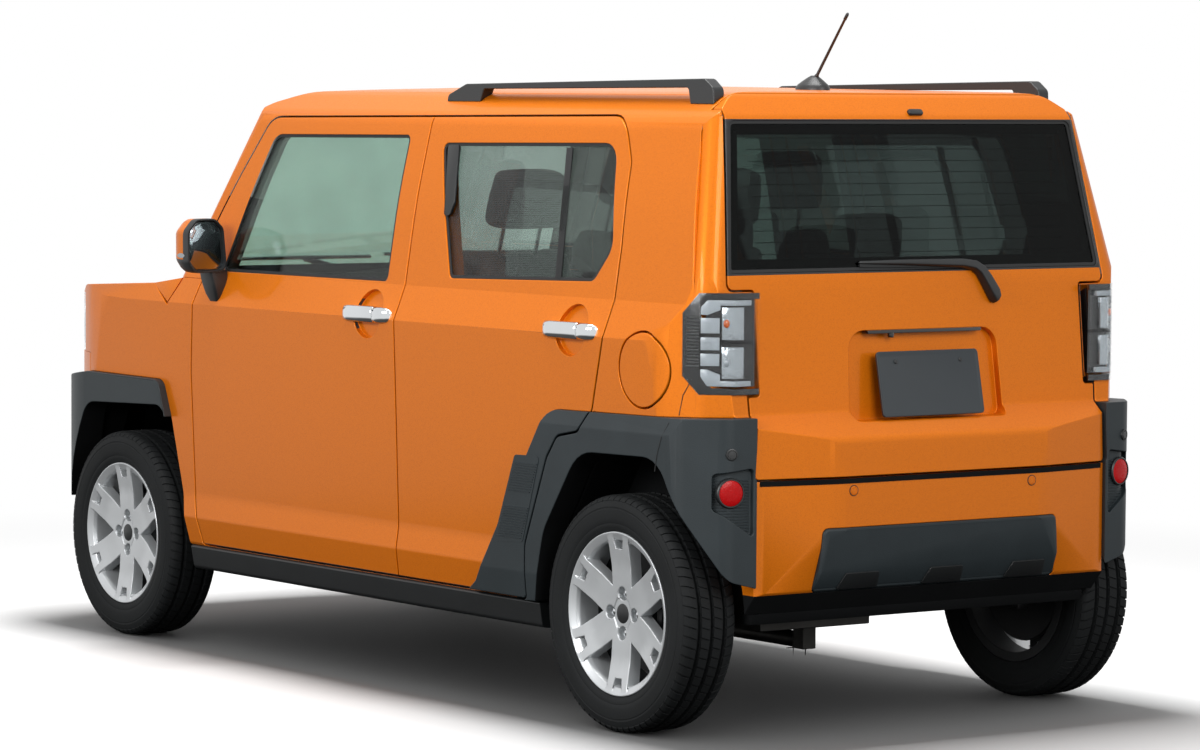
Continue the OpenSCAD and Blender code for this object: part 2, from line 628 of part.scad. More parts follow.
// Wipers: columns are the pivot's y, the blade's middle y, height up the glass and length, in half widths
wiper_shares = [[-0.62, -0.38, 0.10, 0.74], [0.12, 0.36, 0.09, 0.62]];
module on_screen() translate(edge_foot(front_edge_shares))
    rotate([0, -edge_rake(front_edge_shares), 0]) children();
module cowl_and_wipers() color(dark) {
    difference() {
        intersection() {
            shell(0, bonnet_t);
            box([cowl_rear_x, -cowl_half, cowl_low_z], [cowl_front_x, cowl_half, screen_low_z - seam]);
        }
        front_cut(0) rear_view(screen_shares);
    }
    both_sides() intersection() {
        shell(panel_gap, bonnet_t);
        box([cowl_front_x - panel_gap, roof_leaf_y, cowl_low_z],
            [bonnet_rear_x - seam, roof_leaf_y + leaf_w, far]);
    }
    for (w = wiper_shares) on_screen() {
        blade_y = w[1] * half_w;
        blade_z = w[2] * half_w;
        arm = [0, blade_y - w[0] * half_w, blade_z - wiper_foot];
        translate([wiper_t / 2, blade_y - w[3] * half_w / 2, blade_z])
            cube([wiper_t, w[3] * half_w, wiper_t]);
        translate([wiper_t, w[0] * half_w, wiper_foot]) rotate([atan2(-arm[1], arm[2]), 0, 0])
            translate([0, -wiper_t, 0]) cube([wiper_t, 2 * wiper_t, norm(arm)]);
        translate([-glass_recess / 2, w[0] * half_w, wiper_foot]) rotate([0, 90, 0])
            cylinder(r = 2 * wiper_t, h = 3 * wiper_t);
    }
}

// Floor, bulkhead and wheel houses
house_t = 0.4 * wall;
bulkhead_x = 0.252 * overall_len;
house_top = 2.31 * tyre_r;
strut_lean = 10;
strut_y = 0.851 * half_track;
strut_r = 0.8 * axle_r;
function strut_at(z) = [front_axle_x, strut_y - (z - tyre_r) * tan(strut_lean), z];
strut_top_z = house_top + 1.2 * wall;
module strut_axis() translate(strut_at(tyre_r)) rotate([strut_lean, 0, 0]) children();
jack_pads = [[0.16, 1], [-0.16, 1], [0.16, -1], [-0.16, -1]];
jack_pad = [1.6 * wall, wall, 0.6 * wall];
module underbody() color("dimgray") difference() {
    union() {
        difference() {
            intersection() {
                shell(0, wall);
                box([-0.458 * overall_len, -rocker_y, 0],
                    [0.40 * overall_len, rocker_y, floor_step + floor_top]);
            }
            wheel_wells();
        }
        // Bulkhead between the engine and the cabin
        difference() {
            intersection() {
                body_form(wall + seam);
                box([bulkhead_x, -far, floor_z], [bulkhead_x + house_t, far, belt_z - 2 * wall]);
            }
            wheel_wells();
        }
        // Wheel houses, with the strut towers at the front
        house(front_well_y, bulkhead_x + house_t) wheel_area(front_arch_shares, front_axle_x);
        house(rear_well_y, 0) wheel_area(rear_arch_shares, rear_axle_x);
        both_sides() {
            box([bulkhead_x, front_well_y - house_t, floor_z],
                [front_axle_x + 0.6 * tyre_r, front_well_y, house_top + house_t]);
            box([front_axle_x - 0.4 * tyre_r, front_well_y - house_t, house_top],
                [front_axle_x + 0.4 * tyre_r, half_body - 1.3 * wall, house_top + house_t]);
            box([rear_axle_x - 0.8 * tyre_r, rear_well_y - house_t, floor_z + floor_step],
                [rear_axle_x + 0.8 * tyre_r, rear_well_y, floor_top + floor_step + wall]);
        }
        for (j = jack_pads) translate([j[0] * overall_len, j[1] * (rocker_y - jack_pad[1]), floor_z])
            cube(jack_pad, center = true);
    }
    wheel_wells();
    both_sides() strut_axis() cylinder(r = strut_r + seam, h = overall_h);
}
module house(y, front_x) intersection() {
    body_form(wall + seam);
    both_sides() translate([0, y - house_t + half_w / 2, 0]) along_y(half_w)
        offset(delta = house_t) children();
    box([-far, -far, floor_z], [front_x, far, far]);
}

// Cabin fittings
dash_shares = [[0, 0.2, 0.03], [0.1, 0.02, 0.03], [1, 0, 0], [1, 0.95, 0], [0.62, 1, 0.03],
    [0.08, 0.88, 0.05]];
dash_len = 0.10 * overall_len;
dash_h = 0.235 * overall_h;
dash_z = 0.395 * overall_h;
dash_half = 0.84 * half_body;
steering_at = [0.130 * overall_len, -0.46 * half_body, 0.59 * overall_h];
column_tilt = 24;
column_r = 0.45 * wall;
rim_tube = 0.28 * wall;
module on_column() translate(steering_at) rotate([0, column_tilt + 90, 0]) children();
module dashboard() color("#35383b") difference() {
    translate([bulkhead_x - dash_len, 0, 0]) along_y(2 * dash_half)
        outline(scaled(dash_shares, 0, dash_len, dash_z, dash_h, dash_h));
    on_column() cylinder(r = column_r + seam, h = dash_len);
}
module steering_wheel() color(dark) on_column() {
    rotate_extrude() translate([steering_d / 2 - rim_tube, 0]) circle(r = rim_tube);
    translate([0, 0, -rim_tube]) cylinder(r = 1.5 * wall, h = 2.4 * rim_tube);
    for (a = spoke_turns) rotate(a) translate([0, -rim_tube, -rim_tube / 2])
        cube([steering_d / 2 - rim_tube, 2 * rim_tube, rim_tube]);
    cylinder(r = column_r, h = 0.62 * dash_len);
}
spoke_turns = [0, 90, -90];
seat_w = 0.65 * half_w;
seat_y = 0.45 * half_w;
seat_x = -0.045 * overall_len;
seat_len = 0.155 * overall_len;
seat_h = 0.62 * overall_h;
// Seat outlines in side view: columns are x and z shares of the seat's length and height and corner share
cushion_shares = [[0, 0.13, 0.03], [0.04, 0.27, 0.05], [1, 0.32, 0.06], [0.98, 0.17, 0.05]];
back_shares = [[-0.02, 0.2, 0.05], [-0.36, 0.87, 0.05], [-0.20, 0.90, 0.05], [0.22, 0.26, 0.05]];
rest_shares = [[-0.40, 0.90, 0.03], [-0.50, 1.08, 0.04], [-0.33, 1.12, 0.04], [-0.22, 0.93, 0.03]];
base_shares = [[0.25, 0, 0], [0.85, 0, 0], [0.85, 0.2, 0], [0.25, 0.2, 0]];
post_shares = [[-0.32, 0.86, 0], [-0.36, 0.94, 0], [-0.33, 0.95, 0], [-0.29, 0.87, 0]];
module seat_slice(shares, x, z, h, w) translate([x, 0, 0]) along_y(w)
    outline(scaled(shares, 0, seat_len, z, h, h));
module seat(x, lift, h, w, rest_w) {
    z = floor_top + lift;
    seat_slice(cushion_shares, x, z, h, w);
    seat_slice(back_shares, x, z, h, 0.97 * w);
    seat_slice(base_shares, x, floor_top, h + 5 * lift, 0.7 * w);
    seat_slice(rest_shares, x, z, h, rest_w);
    seat_slice(post_shares, x, z, h, 0.6 * rest_w);
}
head_w = 0.34 * half_w;
module front_seats() color(cloth) both_sides() translate([0, seat_y, 0])
    seat(seat_x, 0, seat_h, seat_w, head_w);
rear_seat_x = -0.262 * overall_len;
rear_seat_h = 0.84 * seat_h;
rear_seat_lift = 1.5 * wall;
module rear_seat() color(cloth) both_sides() translate([0, 0.75 * seat_y, 0])
    seat(rear_seat_x, rear_seat_lift, rear_seat_h, 0.98 * seat_w, 0.8 * head_w);

// Rear end
garnish_shares = [[0.545, 0.224, 0.008], [0.522, 0.3225, 0.01]];
module rear_bumper() color(paint) difference() {
    intersection() {
        shell(0, wall);
        box([-far, -rear_bumper_half, 0], [rear_bumper_x, rear_bumper_half, rear_bumper_top_z]);
    }
    rear_cut(rear_bumper_x) offset(delta = seam) rear_view(garnish_shares);
    outside_of(rear_well_y) translate([rear_axle_x, tyre_r]) circle(r = 1.08 * tyre_r);
}
garnish_out = 0.1 * wall;
module rear_garnish() color(trim) intersection() {
    shell(-garnish_out, wall);
    rear_cut(rear_bumper_x) rear_view(garnish_shares);
}
// The tail lamps' rear faces stand upright and proud of the tailgate
tail_lamp_face_x = -0.4785 * overall_len;
module rear_lamps() color("crimson") difference() {
    intersection() {
        tail_lamp_room(0);
        linear_extrude(2 * overall_h) outline(plan_rows(plan_shares, half_body));
        box([tail_lamp_face_x, -far, 0], [0, far, far]);
    }
    body_form(lamp_depth);
}
plate_at_z = 0.535 * overall_h;
plate_t = 0.04 * wall;
// The plate stands on a bracket in a recess: x shares of the length and leans of both
recess_x = -0.470 * overall_len;
recess_lean = 5.7;
plate_x = -0.4816 * overall_len;
plate_lean = 11.6;
module on_recess() translate([recess_x, 0, plate_at_z]) rotate([0, recess_lean, 0]) children();
module on_plate() translate([plate_x, 0, plate_at_z]) rotate([0, plate_lean, 0]) children();
plate_recess_shares = [[0.345, 0.480, 0.012], [0.33, 0.617, 0.03]];
module tailgate() color(paint) difference() {
    intersection() {
        shell(0, wall);
        rear_cut(tailgate_front_x) tailgate_area();
        along_y(far) outline(side_view(tailgate_band_shares));
    }
    rear_cut(rear_bumper_x + 4 * wall) rear_view(tailgate_window_shares);
    intersection() {
        rear_cut(rear_bumper_x) rear_view(plate_recess_shares);
        on_recess() box([-far, -half_w, -half_w], [0, half_w, half_w]);
    }
}
module tailgate_glass() color("slategray", 0.6) intersection() {
    shell(glass_recess, pane_inset);
    rear_cut(tailgate_front_x) offset(delta = -glass_fit) rear_view(tailgate_window_shares);
}
module number_plate() color(dark) {
    on_plate() box([-plate_t, -plate_w / 2, -plate_h / 2], [0, plate_w / 2, plate_h / 2]);
    difference() {
        on_plate() box([-plate_t, -plate_w / 3, -plate_h / 5], [2 * wall, plate_w / 3, plate_h / 3]);
        on_recess() box([-seam, -half_w, -half_w], [far, half_w, half_w]);
    }
}
module on_rear_glass() translate(edge_foot(rear_edge_shares))
    rotate([0, edge_rake(rear_edge_shares), 0]) children();
rear_pivot_shares = [-0.26, -0.068];
rear_elbow_shares = [-0.177, 0.045];
rear_tip_share = 0.31;
module rear_wiper() color(dark) difference() {
    wiper_arm();
    body_form(-seam);
}
module wiper_arm() on_rear_glass() {
    pivot = rear_pivot_shares * half_w;
    elbow = rear_elbow_shares * half_w;
    run = elbow - pivot;
    translate([-2 * wiper_t, pivot[0], pivot[1]]) rotate([0, 90, 0])
        cylinder(r = 2.2 * wiper_t, h = 4 * wiper_t);
    translate([-2 * wiper_t, pivot[0], pivot[1]]) rotate([atan2(-run[0], run[1]), 0, 0])
        translate([0, -wiper_t, 0]) cube([wiper_t, 2 * wiper_t, norm(run)]);
    translate([-2 * wiper_t, elbow[0] - wiper_t, elbow[1] - wiper_t])
        cube([2.5 * wiper_t, rear_tip_share * half_w - elbow[0], wiper_t]);
}
// Roof rails in side view: x share of the length, z and radius shares of the height
rail_shares = [[-0.078, 0.95, 0], [-0.080, 0.972, 0.01], [-0.105, 0.990, 0.02], [-0.415, 1.0, 0.012],
    [-0.4255, 0.985, 0.01], [-0.4265, 0.95, 0]];
rail_slot_shares = [[-0.12, 0.94, 0], [-0.13, 0.982, 0.006], [-0.395, 0.986, 0.006], [-0.40, 0.94, 0]];
rail_y = 0.72 * half_w;
module roof_rails() color(dark) both_sides() difference() {
    translate([0, rail_y, 0]) along_y(rail_w) difference() {
        outline(side_view(rail_shares));
        outline(side_view(rail_slot_shares));
    }
    body_form(-seam / 2);
}
antenna_x = -0.338 * overall_len;
antenna_len = 0.15 * overall_h;
antenna_tilt = 35;
antenna_r = 0.08 * wall;
antenna_foot = 0.42 * wall;
module antenna() color(dark) difference() {
    translate([antenna_x, 0, 0.975 * overall_h]) {
        cylinder(r = antenna_foot, h = antenna_foot);
        translate([0, 0, antenna_foot / 2]) rotate([0, -antenna_tilt, 0])
            cylinder(r = antenna_r, h = antenna_len);
    }
    body_form(-seam / 2);
}

// Engine, suspension, axles, exhaust and tank
module engine_block() color("gray") {
    box([front_axle_x - 0.3 * tyre_r, -0.75 * front_well_y, floor_top],
        [front_axle_x + 0.95 * tyre_r, 0.8 * front_well_y, 1.9 * tyre_r]);
    box([front_axle_x, -0.6 * front_well_y, floor_top],
        [front_axle_x + 0.8 * tyre_r, 0.5 * front_well_y, 2.7 * tyre_r]);
}
arm_z = 0.62 * tyre_r;
arm_t = 0.12 * tyre_r;
ball_y = 0.91 * half_track;
pin_r = axle_r / 2;
module front_suspension() color(steel) difference() {
    subframe();
    both_sides() strut_axis() cylinder(r = pin_r + seam, h = overall_h, center = true);
}
module subframe() {
    box([front_axle_x - 0.35 * tyre_r, -front_well_y, arm_z],
        [front_axle_x + 0.2 * tyre_r, front_well_y, floor_z]);
    both_sides() translate([front_axle_x, 0, arm_z]) linear_extrude(arm_t)
        polygon([[-0.35 * tyre_r, front_well_y], [0.2 * tyre_r, front_well_y],
            [0.08 * tyre_r, ball_y], [-0.08 * tyre_r, ball_y]]);
    both_sides() translate([front_axle_x, strut_at(arm_z)[1], arm_z]) cylinder(r = 2 * pin_r, h = arm_t);
}
knuckle_t = 0.8 * axle_r;
knuckle_low_z = tyre_r - 1.7 * axle_r;
module knuckle() color("#5b6064") {
    translate([front_axle_x, strut_y - knuckle_t, tyre_r]) rotate([-90, 0, 0])
        cylinder(r = axle_r, h = half_track + axle_reach - strut_y + knuckle_t);
    translate([front_axle_x, strut_y, tyre_r])
        cube([2.2 * axle_r, 1.6 * knuckle_t, 2 * (tyre_r - knuckle_low_z)], center = true);
    strut_axis() cylinder(r = strut_r, h = (strut_top_z - tyre_r) / cos(strut_lean));
    strut_axis() rotate([180, 0, 0]) cylinder(r = pin_r, h = (tyre_r - arm_z) / cos(strut_lean));
    strut_axis() translate([0, 0, 1.06 * tyre_r / cos(strut_lean)])
        cylinder(r = 1.9 * strut_r, h = 0.2 * tyre_r);
}
axle_reach = 0.2 * tyre_w;
beam_x = rear_axle_x + 0.45 * tyre_r;
beam_y = 0.76 * half_track;
arm_front_x = -0.275 * overall_len;
arm_top_z = floor_z + floor_step;
arm_in_y = beam_y - axle_r;
arm_out_y = beam_y + axle_r / 2;
arm_low_z = tyre_r - axle_r;
module rear_axle_beam() color(steel) {
    translate([beam_x, 0, 0.95 * tyre_r]) rotate([90, 0, 0])
        cylinder(r = 1.1 * axle_r, h = 2 * beam_y, center = true);
    both_sides() {
        translate([rear_axle_x, arm_in_y, tyre_r]) rotate([-90, 0, 0])
            cylinder(r = axle_r, h = half_track + axle_reach - arm_in_y);
        box([rear_axle_x - axle_r, arm_in_y, arm_low_z], [arm_front_x, arm_out_y, tyre_r + axle_r / 2]);
        box([arm_front_x - 2 * axle_r, arm_in_y, arm_low_z], [arm_front_x, arm_out_y, arm_top_z]);
        translate([rear_axle_x + axle_r, arm_in_y - 2 * axle_r, tyre_r])
            cylinder(r = axle_r, h = arm_top_z - tyre_r);
        box([rear_axle_x, arm_in_y - 3 * axle_r, arm_low_z], [rear_axle_x + 2 * axle_r, beam_y, tyre_r]);
    }
}
pipe_r = 0.42 * wall;
pipe_z = 0.69 * tyre_r;
pipe_y = 0.25 * half_w;
pipe_front_x = front_axle_x - 0.5 * tyre_r;
muffler_shares = [-0.444, -0.397];
muffler_x = muffler_shares * overall_len;
hanger_shares = [0.2, 0.02, -0.22];
module exhaust() color("#7a7d80") {
    translate([muffler_x[1] - pipe_r, pipe_y, pipe_z]) rotate([0, 90, 0])
        cylinder(r = pipe_r, h = pipe_front_x - muffler_x[1]);
    box([muffler_x[0], pipe_y - 2 * wall, pipe_z + wall],
        [muffler_x[1], pipe_y + 5 * wall, arm_top_z - wall / 2]);
    box([muffler_x[1] - 2 * pipe_r, pipe_y - pipe_r, pipe_z - pipe_r],
        [muffler_x[1], pipe_y + pipe_r, pipe_z + 2 * wall]);
    box([muffler_x[0] + wall, pipe_y, arm_top_z - 2 * wall], [muffler_x[1] - wall, pipe_y + wall, arm_top_z]);
    for (s = hanger_shares) translate([s * overall_len, pipe_y - pipe_r / 2, pipe_z])
        cube([wall / 2, pipe_r, floor_z - pipe_z]);
}
module fuel_tank() color("#2a2c2e")
    box([-0.225 * overall_len, -0.62 * half_w, 0.66 * tyre_r], [-0.08 * overall_len, 0.1 * half_w, floor_z]);

// Wheels turn about Y and are drawn outboard-up about Z; rows are radius and offset shares of the rim
seat_r = 0.925 * rim_r;
bead_half = 0.435 * rim_w;
lip_t = 0.065 * rim_w;
spoke_out = 0.36 * rim_w;
spoke_in = 0.10 * rim_w;
hub_r = 0.32 * rim_r;
barrel_t = 0.05 * rim_r;
barrel_r = seat_r - barrel_t;
lip_z = bead_half + seam;
nut_hole_r = 0.26 * hub_r;
nut_depth = 0.35 * hub_r;
module on_axle(x, y) translate([x, y, tyre_r]) rotate([-90, 0, 0]) children();
// Half a spoke seen from outside: columns are radius and half width shares of the rim's radius
spoke_shares = [[0.18, 0.19], [0.80, 0.20], [0.88, 0.205], [0.97, 0.24], [0.97, 0.105], [0.87, 0.085],
    [0.79, 0.062], [0.79, 0]];
module spoke() {
    half = [for (s = spoke_shares) s * rim_r];
    polygon(concat(half, [for (i = [len(half) - 2:-1:0]) [half[i][0], -half[i][1]]]));
}
module wheel() color(silver) difference() {
    union() {
        rotate_extrude() polygon([[barrel_r, -rim_w / 2], [rim_r, -rim_w / 2], [rim_r, -lip_z],
            [seat_r, -lip_z], [seat_r, lip_z], [rim_r, lip_z], [rim_r, lip_z + lip_t],
            [0.98 * rim_r, lip_z + lip_t], [seat_r - barrel_t / 2, lip_z], [barrel_r, 0.8 * lip_z]]);
        intersection() {
            translate([0, 0, spoke_in]) linear_extrude(rim_w / 2)
                for (k = [0:spokes - 1]) rotate(360 * k / spokes + 90) spoke();
            rotate_extrude() polygon([[0, spoke_in], [seat_r - barrel_t / 2, 2 * spoke_in],
                [seat_r - barrel_t / 2, lip_z + 0.3 * lip_t], [0.97 * rim_r, lip_z + 0.3 * lip_t],
                [0.97 * rim_r, lip_z + 0.85 * lip_t], [0.6 * rim_r, 1.12 * spoke_out], [0, spoke_out]]);
        }
        translate([0, 0, -spoke_in]) cylinder(r = hub_r, h = spoke_in + spoke_out);
    }
    translate([0, 0, -rim_w]) cylinder(r = axle_r + axle_clear, h = rim_w + axle_reach + wheel_end);
    for (k = [0:nuts - 1]) rotate(360 * k / nuts) translate([nut_pcd / 2, 0, spoke_out - nut_depth])
        cylinder(r = nut_hole_r, h = rim_w);
}
wheel_end = 0.01 * rim_w;
// Half of the tyre's section: radius share of the tyre's radius, half width share of its width
tyre_shares = [[0.705, 0.45], [0.76, 0.485], [0.84, 0.5], [0.93, 0.485], [0.975, 0.445], [0.995, 0.37],
    [1, 0.27]];
module tyre() color(dark) rotate_extrude() {
    half = concat([[seat_r + seam, bead_half], [rim_r + 2 * seam, bead_half]],
        [for (s = tyre_shares) [s[0] * tyre_r, s[1] * tyre_w]]);
    polygon(concat(half, [for (i = [len(half) - 1:-1:0]) [half[i][0], -half[i][1]]]));
}

underbody();
color(paint) body_side(1);  // body_side_left
color(paint) right_side() body_side();  // body_side_right
roof_panel();
front_fenders();
bonnet();
front_bumper();
grille();
headlamps();
windscreen();
cowl_and_wipers();
dashboard();
steering_wheel();
front_seats();
rear_seat();
front_arch_cladding();
rear_arch_cladding();
side_skirts();
rear_bumper();
rear_garnish();
rear_lamps();
roof_rails();
antenna();
engine_block();
front_suspension();
rear_axle_beam();
exhaust();
fuel_tank();
front_door();  // front_door_left
right_side() front_door();  // front_door_right
door_glass() front_area(front_window_shares);  // front_glass_left
right_side() door_glass() front_area(front_window_shares);  // front_glass_right
door_mirror();  // mirror_left
right_side() door_mirror();  // mirror_right
handle(front_handle_x);  // handle_front_left
right_side() handle(front_handle_x);  // handle_front_right
rear_door();  // rear_door_left
right_side() rear_door();  // rear_door_right
door_glass() rear_area(rear_window_shares);  // rear_glass_left
right_side() door_glass() rear_area(rear_window_shares);  // rear_glass_right
door_cladding();  // door_cladding_left
right_side() door_cladding();  // door_cladding_right
handle(rear_handle_x);  // handle_rear_left
right_side() handle(rear_handle_x);  // handle_rear_right
tailgate();
tailgate_glass();
rear_wiper();
number_plate();
fuel_lid();
knuckle();  // knuckle_left
right_side() knuckle();  // knuckle_right
on_axle(front_axle_x, half_track) wheel();  // wheel_front_left
right_side() on_axle(front_axle_x, half_track) wheel();  // wheel_front_right
on_axle(rear_axle_x, half_track) wheel();  // wheel_rear_left
right_side() on_axle(rear_axle_x, half_track) wheel();  // wheel_rear_right
on_axle(front_axle_x, half_track) tyre();  // tyre_front_left
right_side() on_axle(front_axle_x, half_track) tyre();  // tyre_front_right
on_axle(rear_axle_x, half_track) tyre();  // tyre_rear_left
right_side() on_axle(rear_axle_x, half_track) tyre();  // tyre_rear_right
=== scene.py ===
"""Looks of a boxy orange kei car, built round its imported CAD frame.

X is forward, Y to the car's left and Z up, in metres, with the origin on the ground under the car's middle.
Each class dresses one sub-assembly: it keeps its sizes as fields, builds its meshes and gives them finishes.
"""
import logging
import math
from collections.abc import Callable, Iterable, Sequence
from dataclasses import dataclass, field
from enum import Enum
from functools import partial
from typing import Any

import bmesh
import bpy
from mathutils import Matrix, Vector
from mathutils.bvhtree import BVHTree


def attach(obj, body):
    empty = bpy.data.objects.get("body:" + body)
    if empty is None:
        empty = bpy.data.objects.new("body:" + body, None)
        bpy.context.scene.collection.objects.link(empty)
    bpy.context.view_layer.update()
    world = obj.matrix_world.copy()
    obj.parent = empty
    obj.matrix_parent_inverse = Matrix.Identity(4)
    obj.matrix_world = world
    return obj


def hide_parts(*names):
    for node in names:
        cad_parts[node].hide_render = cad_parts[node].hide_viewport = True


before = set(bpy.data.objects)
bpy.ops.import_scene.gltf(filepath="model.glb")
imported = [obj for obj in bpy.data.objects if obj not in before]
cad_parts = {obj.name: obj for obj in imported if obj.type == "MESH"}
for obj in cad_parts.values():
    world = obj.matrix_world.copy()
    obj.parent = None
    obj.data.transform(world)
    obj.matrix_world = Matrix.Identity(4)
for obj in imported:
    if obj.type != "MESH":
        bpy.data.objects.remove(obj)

LOG = logging.getLogger("kei_car")
FRONT_AXLE_X = 1.1675
REAR_AXLE_X = -1.2925
AXLE_Z = 0.298
TRACK_Y = 0.6475
Pair = tuple[float, float]
Triple = tuple[float, float, float]
Quad = tuple[float, float, float, float]
Point = Sequence[float]
Outline = Sequence[Pair]
BMesh = bmesh.types.BMesh
Node = bpy.types.Node
NodeTree = bpy.types.NodeTree
Piece = bpy.types.Object


class Side(Enum):
    """The two sides of the car, with the sign of their Y."""

    LEFT = ("left", 1.0)
    RIGHT = ("right", -1.0)

    @property
    def word(self) -> str:
        """The side's word in node and body names."""
        return self.value[0]

    @property
    def sign(self) -> float:
        """1 on the left and -1 on the right."""
        return self.value[1]


class Axle(Enum):
    """The two axles, by their word in node and body names."""

    FRONT = "front"
    REAR = "rear"


# Shader nodes

def linear(code: str) -> Quad:
    """Turns an sRGB hex colour into linear light.

    Args:
        code: Six hex digits after a hash sign.

    Returns:
        Red, green, blue and alpha for a Blender socket.
    """
    parts = [int(code[i:i + 2], 16) / 255 for i in (1, 3, 5)]
    red, green, blue = (c / 12.92 if c <= 0.04045 else ((c + 0.055) / 1.055) ** 2.4 for c in parts)
    return red, green, blue, 1.0


def add_node(tree: NodeTree, kind: str, attrs: dict[str, Any] | None = None,
             values: dict[Any, Any] | None = None, links: dict[Any, Any] | None = None) -> Node:
    """Adds one node with its settings and links.

    Args:
        tree: The shader or geometry tree.
        kind: The node's type name.
        attrs: Attributes of the node itself.
        values: Default values by input name or index.
        links: Output sockets by the input name or index they feed.

    Returns:
        The new node.
    """
    node = tree.nodes.new(kind)
    for key, value in (attrs or {}).items():
        setattr(node, key, value)
    for key, value in (values or {}).items():
        node.inputs[key].default_value = value
    for key, socket in (links or {}).items():
        tree.links.new(socket, node.inputs[key])
    return node


def seen_rays(tree: NodeTree) -> tuple[Any, Any]:
    """Adds nodes that tell the rays of what is looked at from the rays that carry light.

    Args:
        tree: A material's or world's tree.

    Returns:
        A socket that is 1 for camera and transmission rays, and one that is 1 for mirror rays too.
    """
    path = add_node(tree, "ShaderNodeLightPath")
    seen = add_node(
        tree, "ShaderNodeMath", {"operation": "MAXIMUM"}, None,
        {0: path.outputs["Is Camera Ray"], 1: path.outputs["Is Transmission Ray"]})
    mirror = add_node(
        tree, "ShaderNodeMath", {"operation": "MAXIMUM"}, None,
        {0: seen.outputs[0], 1: path.outputs["Is Glossy Ray"]})
    return seen.outputs[0], mirror.outputs[0]


@dataclass(frozen=True)
class Finish:
    """A surface finish made of one principled shader.

    Fields give the shader's constant values; patterns come from subclasses.
    """

    name: str
    colour: str
    roughness: float
    metallic: float = 0.0
    sockets: tuple[tuple[str, float], ...] = ()

    def material(self) -> bpy.types.Material:
        """Returns the finish as a material, built once."""
        made = bpy.data.materials.get(self.name)
        if made:
            return made
        made = bpy.data.materials.new(self.name)
        made.use_nodes = True
        tree = made.node_tree
        shader = tree.nodes["Principled BSDF"]
        shader.inputs["Base Color"].default_value = linear(self.colour)
        shader.inputs["Roughness"].default_value = self.roughness
        shader.inputs["Metallic"].default_value = self.metallic
        for name, value in self.sockets:
            shader.inputs[name].default_value = value
        made.diffuse_color = linear(self.colour)
        self.pattern(tree, shader)
        return made

    def pattern(self, tree: NodeTree, shader: Node) -> None:
        """Adds nothing here; a subclass draws its grain, flakes or weave."""

    @staticmethod
    def place(tree: NodeTree) -> Any:
        """Returns the Object coordinates' socket of a tree."""
        return add_node(tree, "ShaderNodeTexCoord").outputs["Object"]

    def drift(self, tree: NodeTree, share: Any, tone: float) -> Any:
        """Returns the finish's colour, made darker and lighter by a pattern.

        Args:
            tree: The shader tree.
            share: Output socket of the pattern.
            tone: Greatest change of tone, as a share of the colour.

        Returns:
            The colour's output socket.
        """
        base = Vector(linear(self.colour)[:3])
        ramp = add_node(tree, "ShaderNodeValToRGB", None, None, {"Fac": share})
        for element, spot, level in zip(ramp.color_ramp.elements, (0.3, 0.7), (1 - tone, 1 + tone)):
            element.position = spot
            element.color = (*(base * level), 1.0)
        return ramp.outputs["Color"]


@dataclass(frozen=True)
class Grained(Finish):
    """A moulded or cast surface with an even grain, as a noise or cell bump and a slight change of tone."""

    grain_mm: float = 1.0
    relief_mm: float = 0.1
    tone: float = 0.12
    cells: bool = False

    def pattern(self, tree: NodeTree, shader: Node) -> None:
        """Adds the grain's bump, and its tone on colour and roughness.

        Args:
            tree: The tree that the nodes go into.
            shader: The material's principled shader.
        """
        place = self.place(tree)
        scale = 1000.0 / self.grain_mm
        if self.cells:
            grain = add_node(
                tree, "ShaderNodeTexVoronoi", {"feature": "SMOOTH_F1"}, {"Scale": scale},
                {"Vector": place}).outputs["Distance"]
        else:
            grain = add_node(
                tree, "ShaderNodeTexNoise", None, {"Scale": scale, "Detail": 3.0},
                {"Vector": place}).outputs["Fac"]
        slow = add_node(tree, "ShaderNodeTexNoise", None, {"Scale": 9.0, "Detail": 2.0}, {"Vector": place})
        most = min(1.0, self.roughness * (1 + self.tone))
        rough = add_node(
            tree, "ShaderNodeMapRange", None, {"To Min": self.roughness * (1 - self.tone), "To Max": most},
            {"Value": grain})
        bump = add_node(
            tree, "ShaderNodeBump", None, {"Strength": 1.0, "Distance": self.relief_mm / 1000},
            {"Height": grain})
        colour = self.drift(tree, slow.outputs["Fac"], self.tone)
        tree.links.new(colour, shader.inputs["Base Color"])
        tree.links.new(rough.outputs["Result"], shader.inputs["Roughness"])
        tree.links.new(bump.outputs["Normal"], shader.inputs["Normal"])


@dataclass(frozen=True)
class Glazed(Finish):
    """Glass or lens plastic: a body tint that drifts slowly, as the melt's thickness does."""

    wave_mm: float = 180.0
    tone: float = 0.06

    def pattern(self, tree: NodeTree, shader: Node) -> None:
        """Adds the drift of the tint.

        Args:
            tree: The tree that the nodes go into.
            shader: The material's principled shader.
        """
        wave = add_node(
            tree, "ShaderNodeTexNoise", None, {"Scale": 1000.0 / self.wave_mm, "Detail": 1.0},
            {"Vector": self.place(tree)})
        tree.links.new(self.drift(tree, wave.outputs["Fac"], self.tone), shader.inputs["Base Color"])


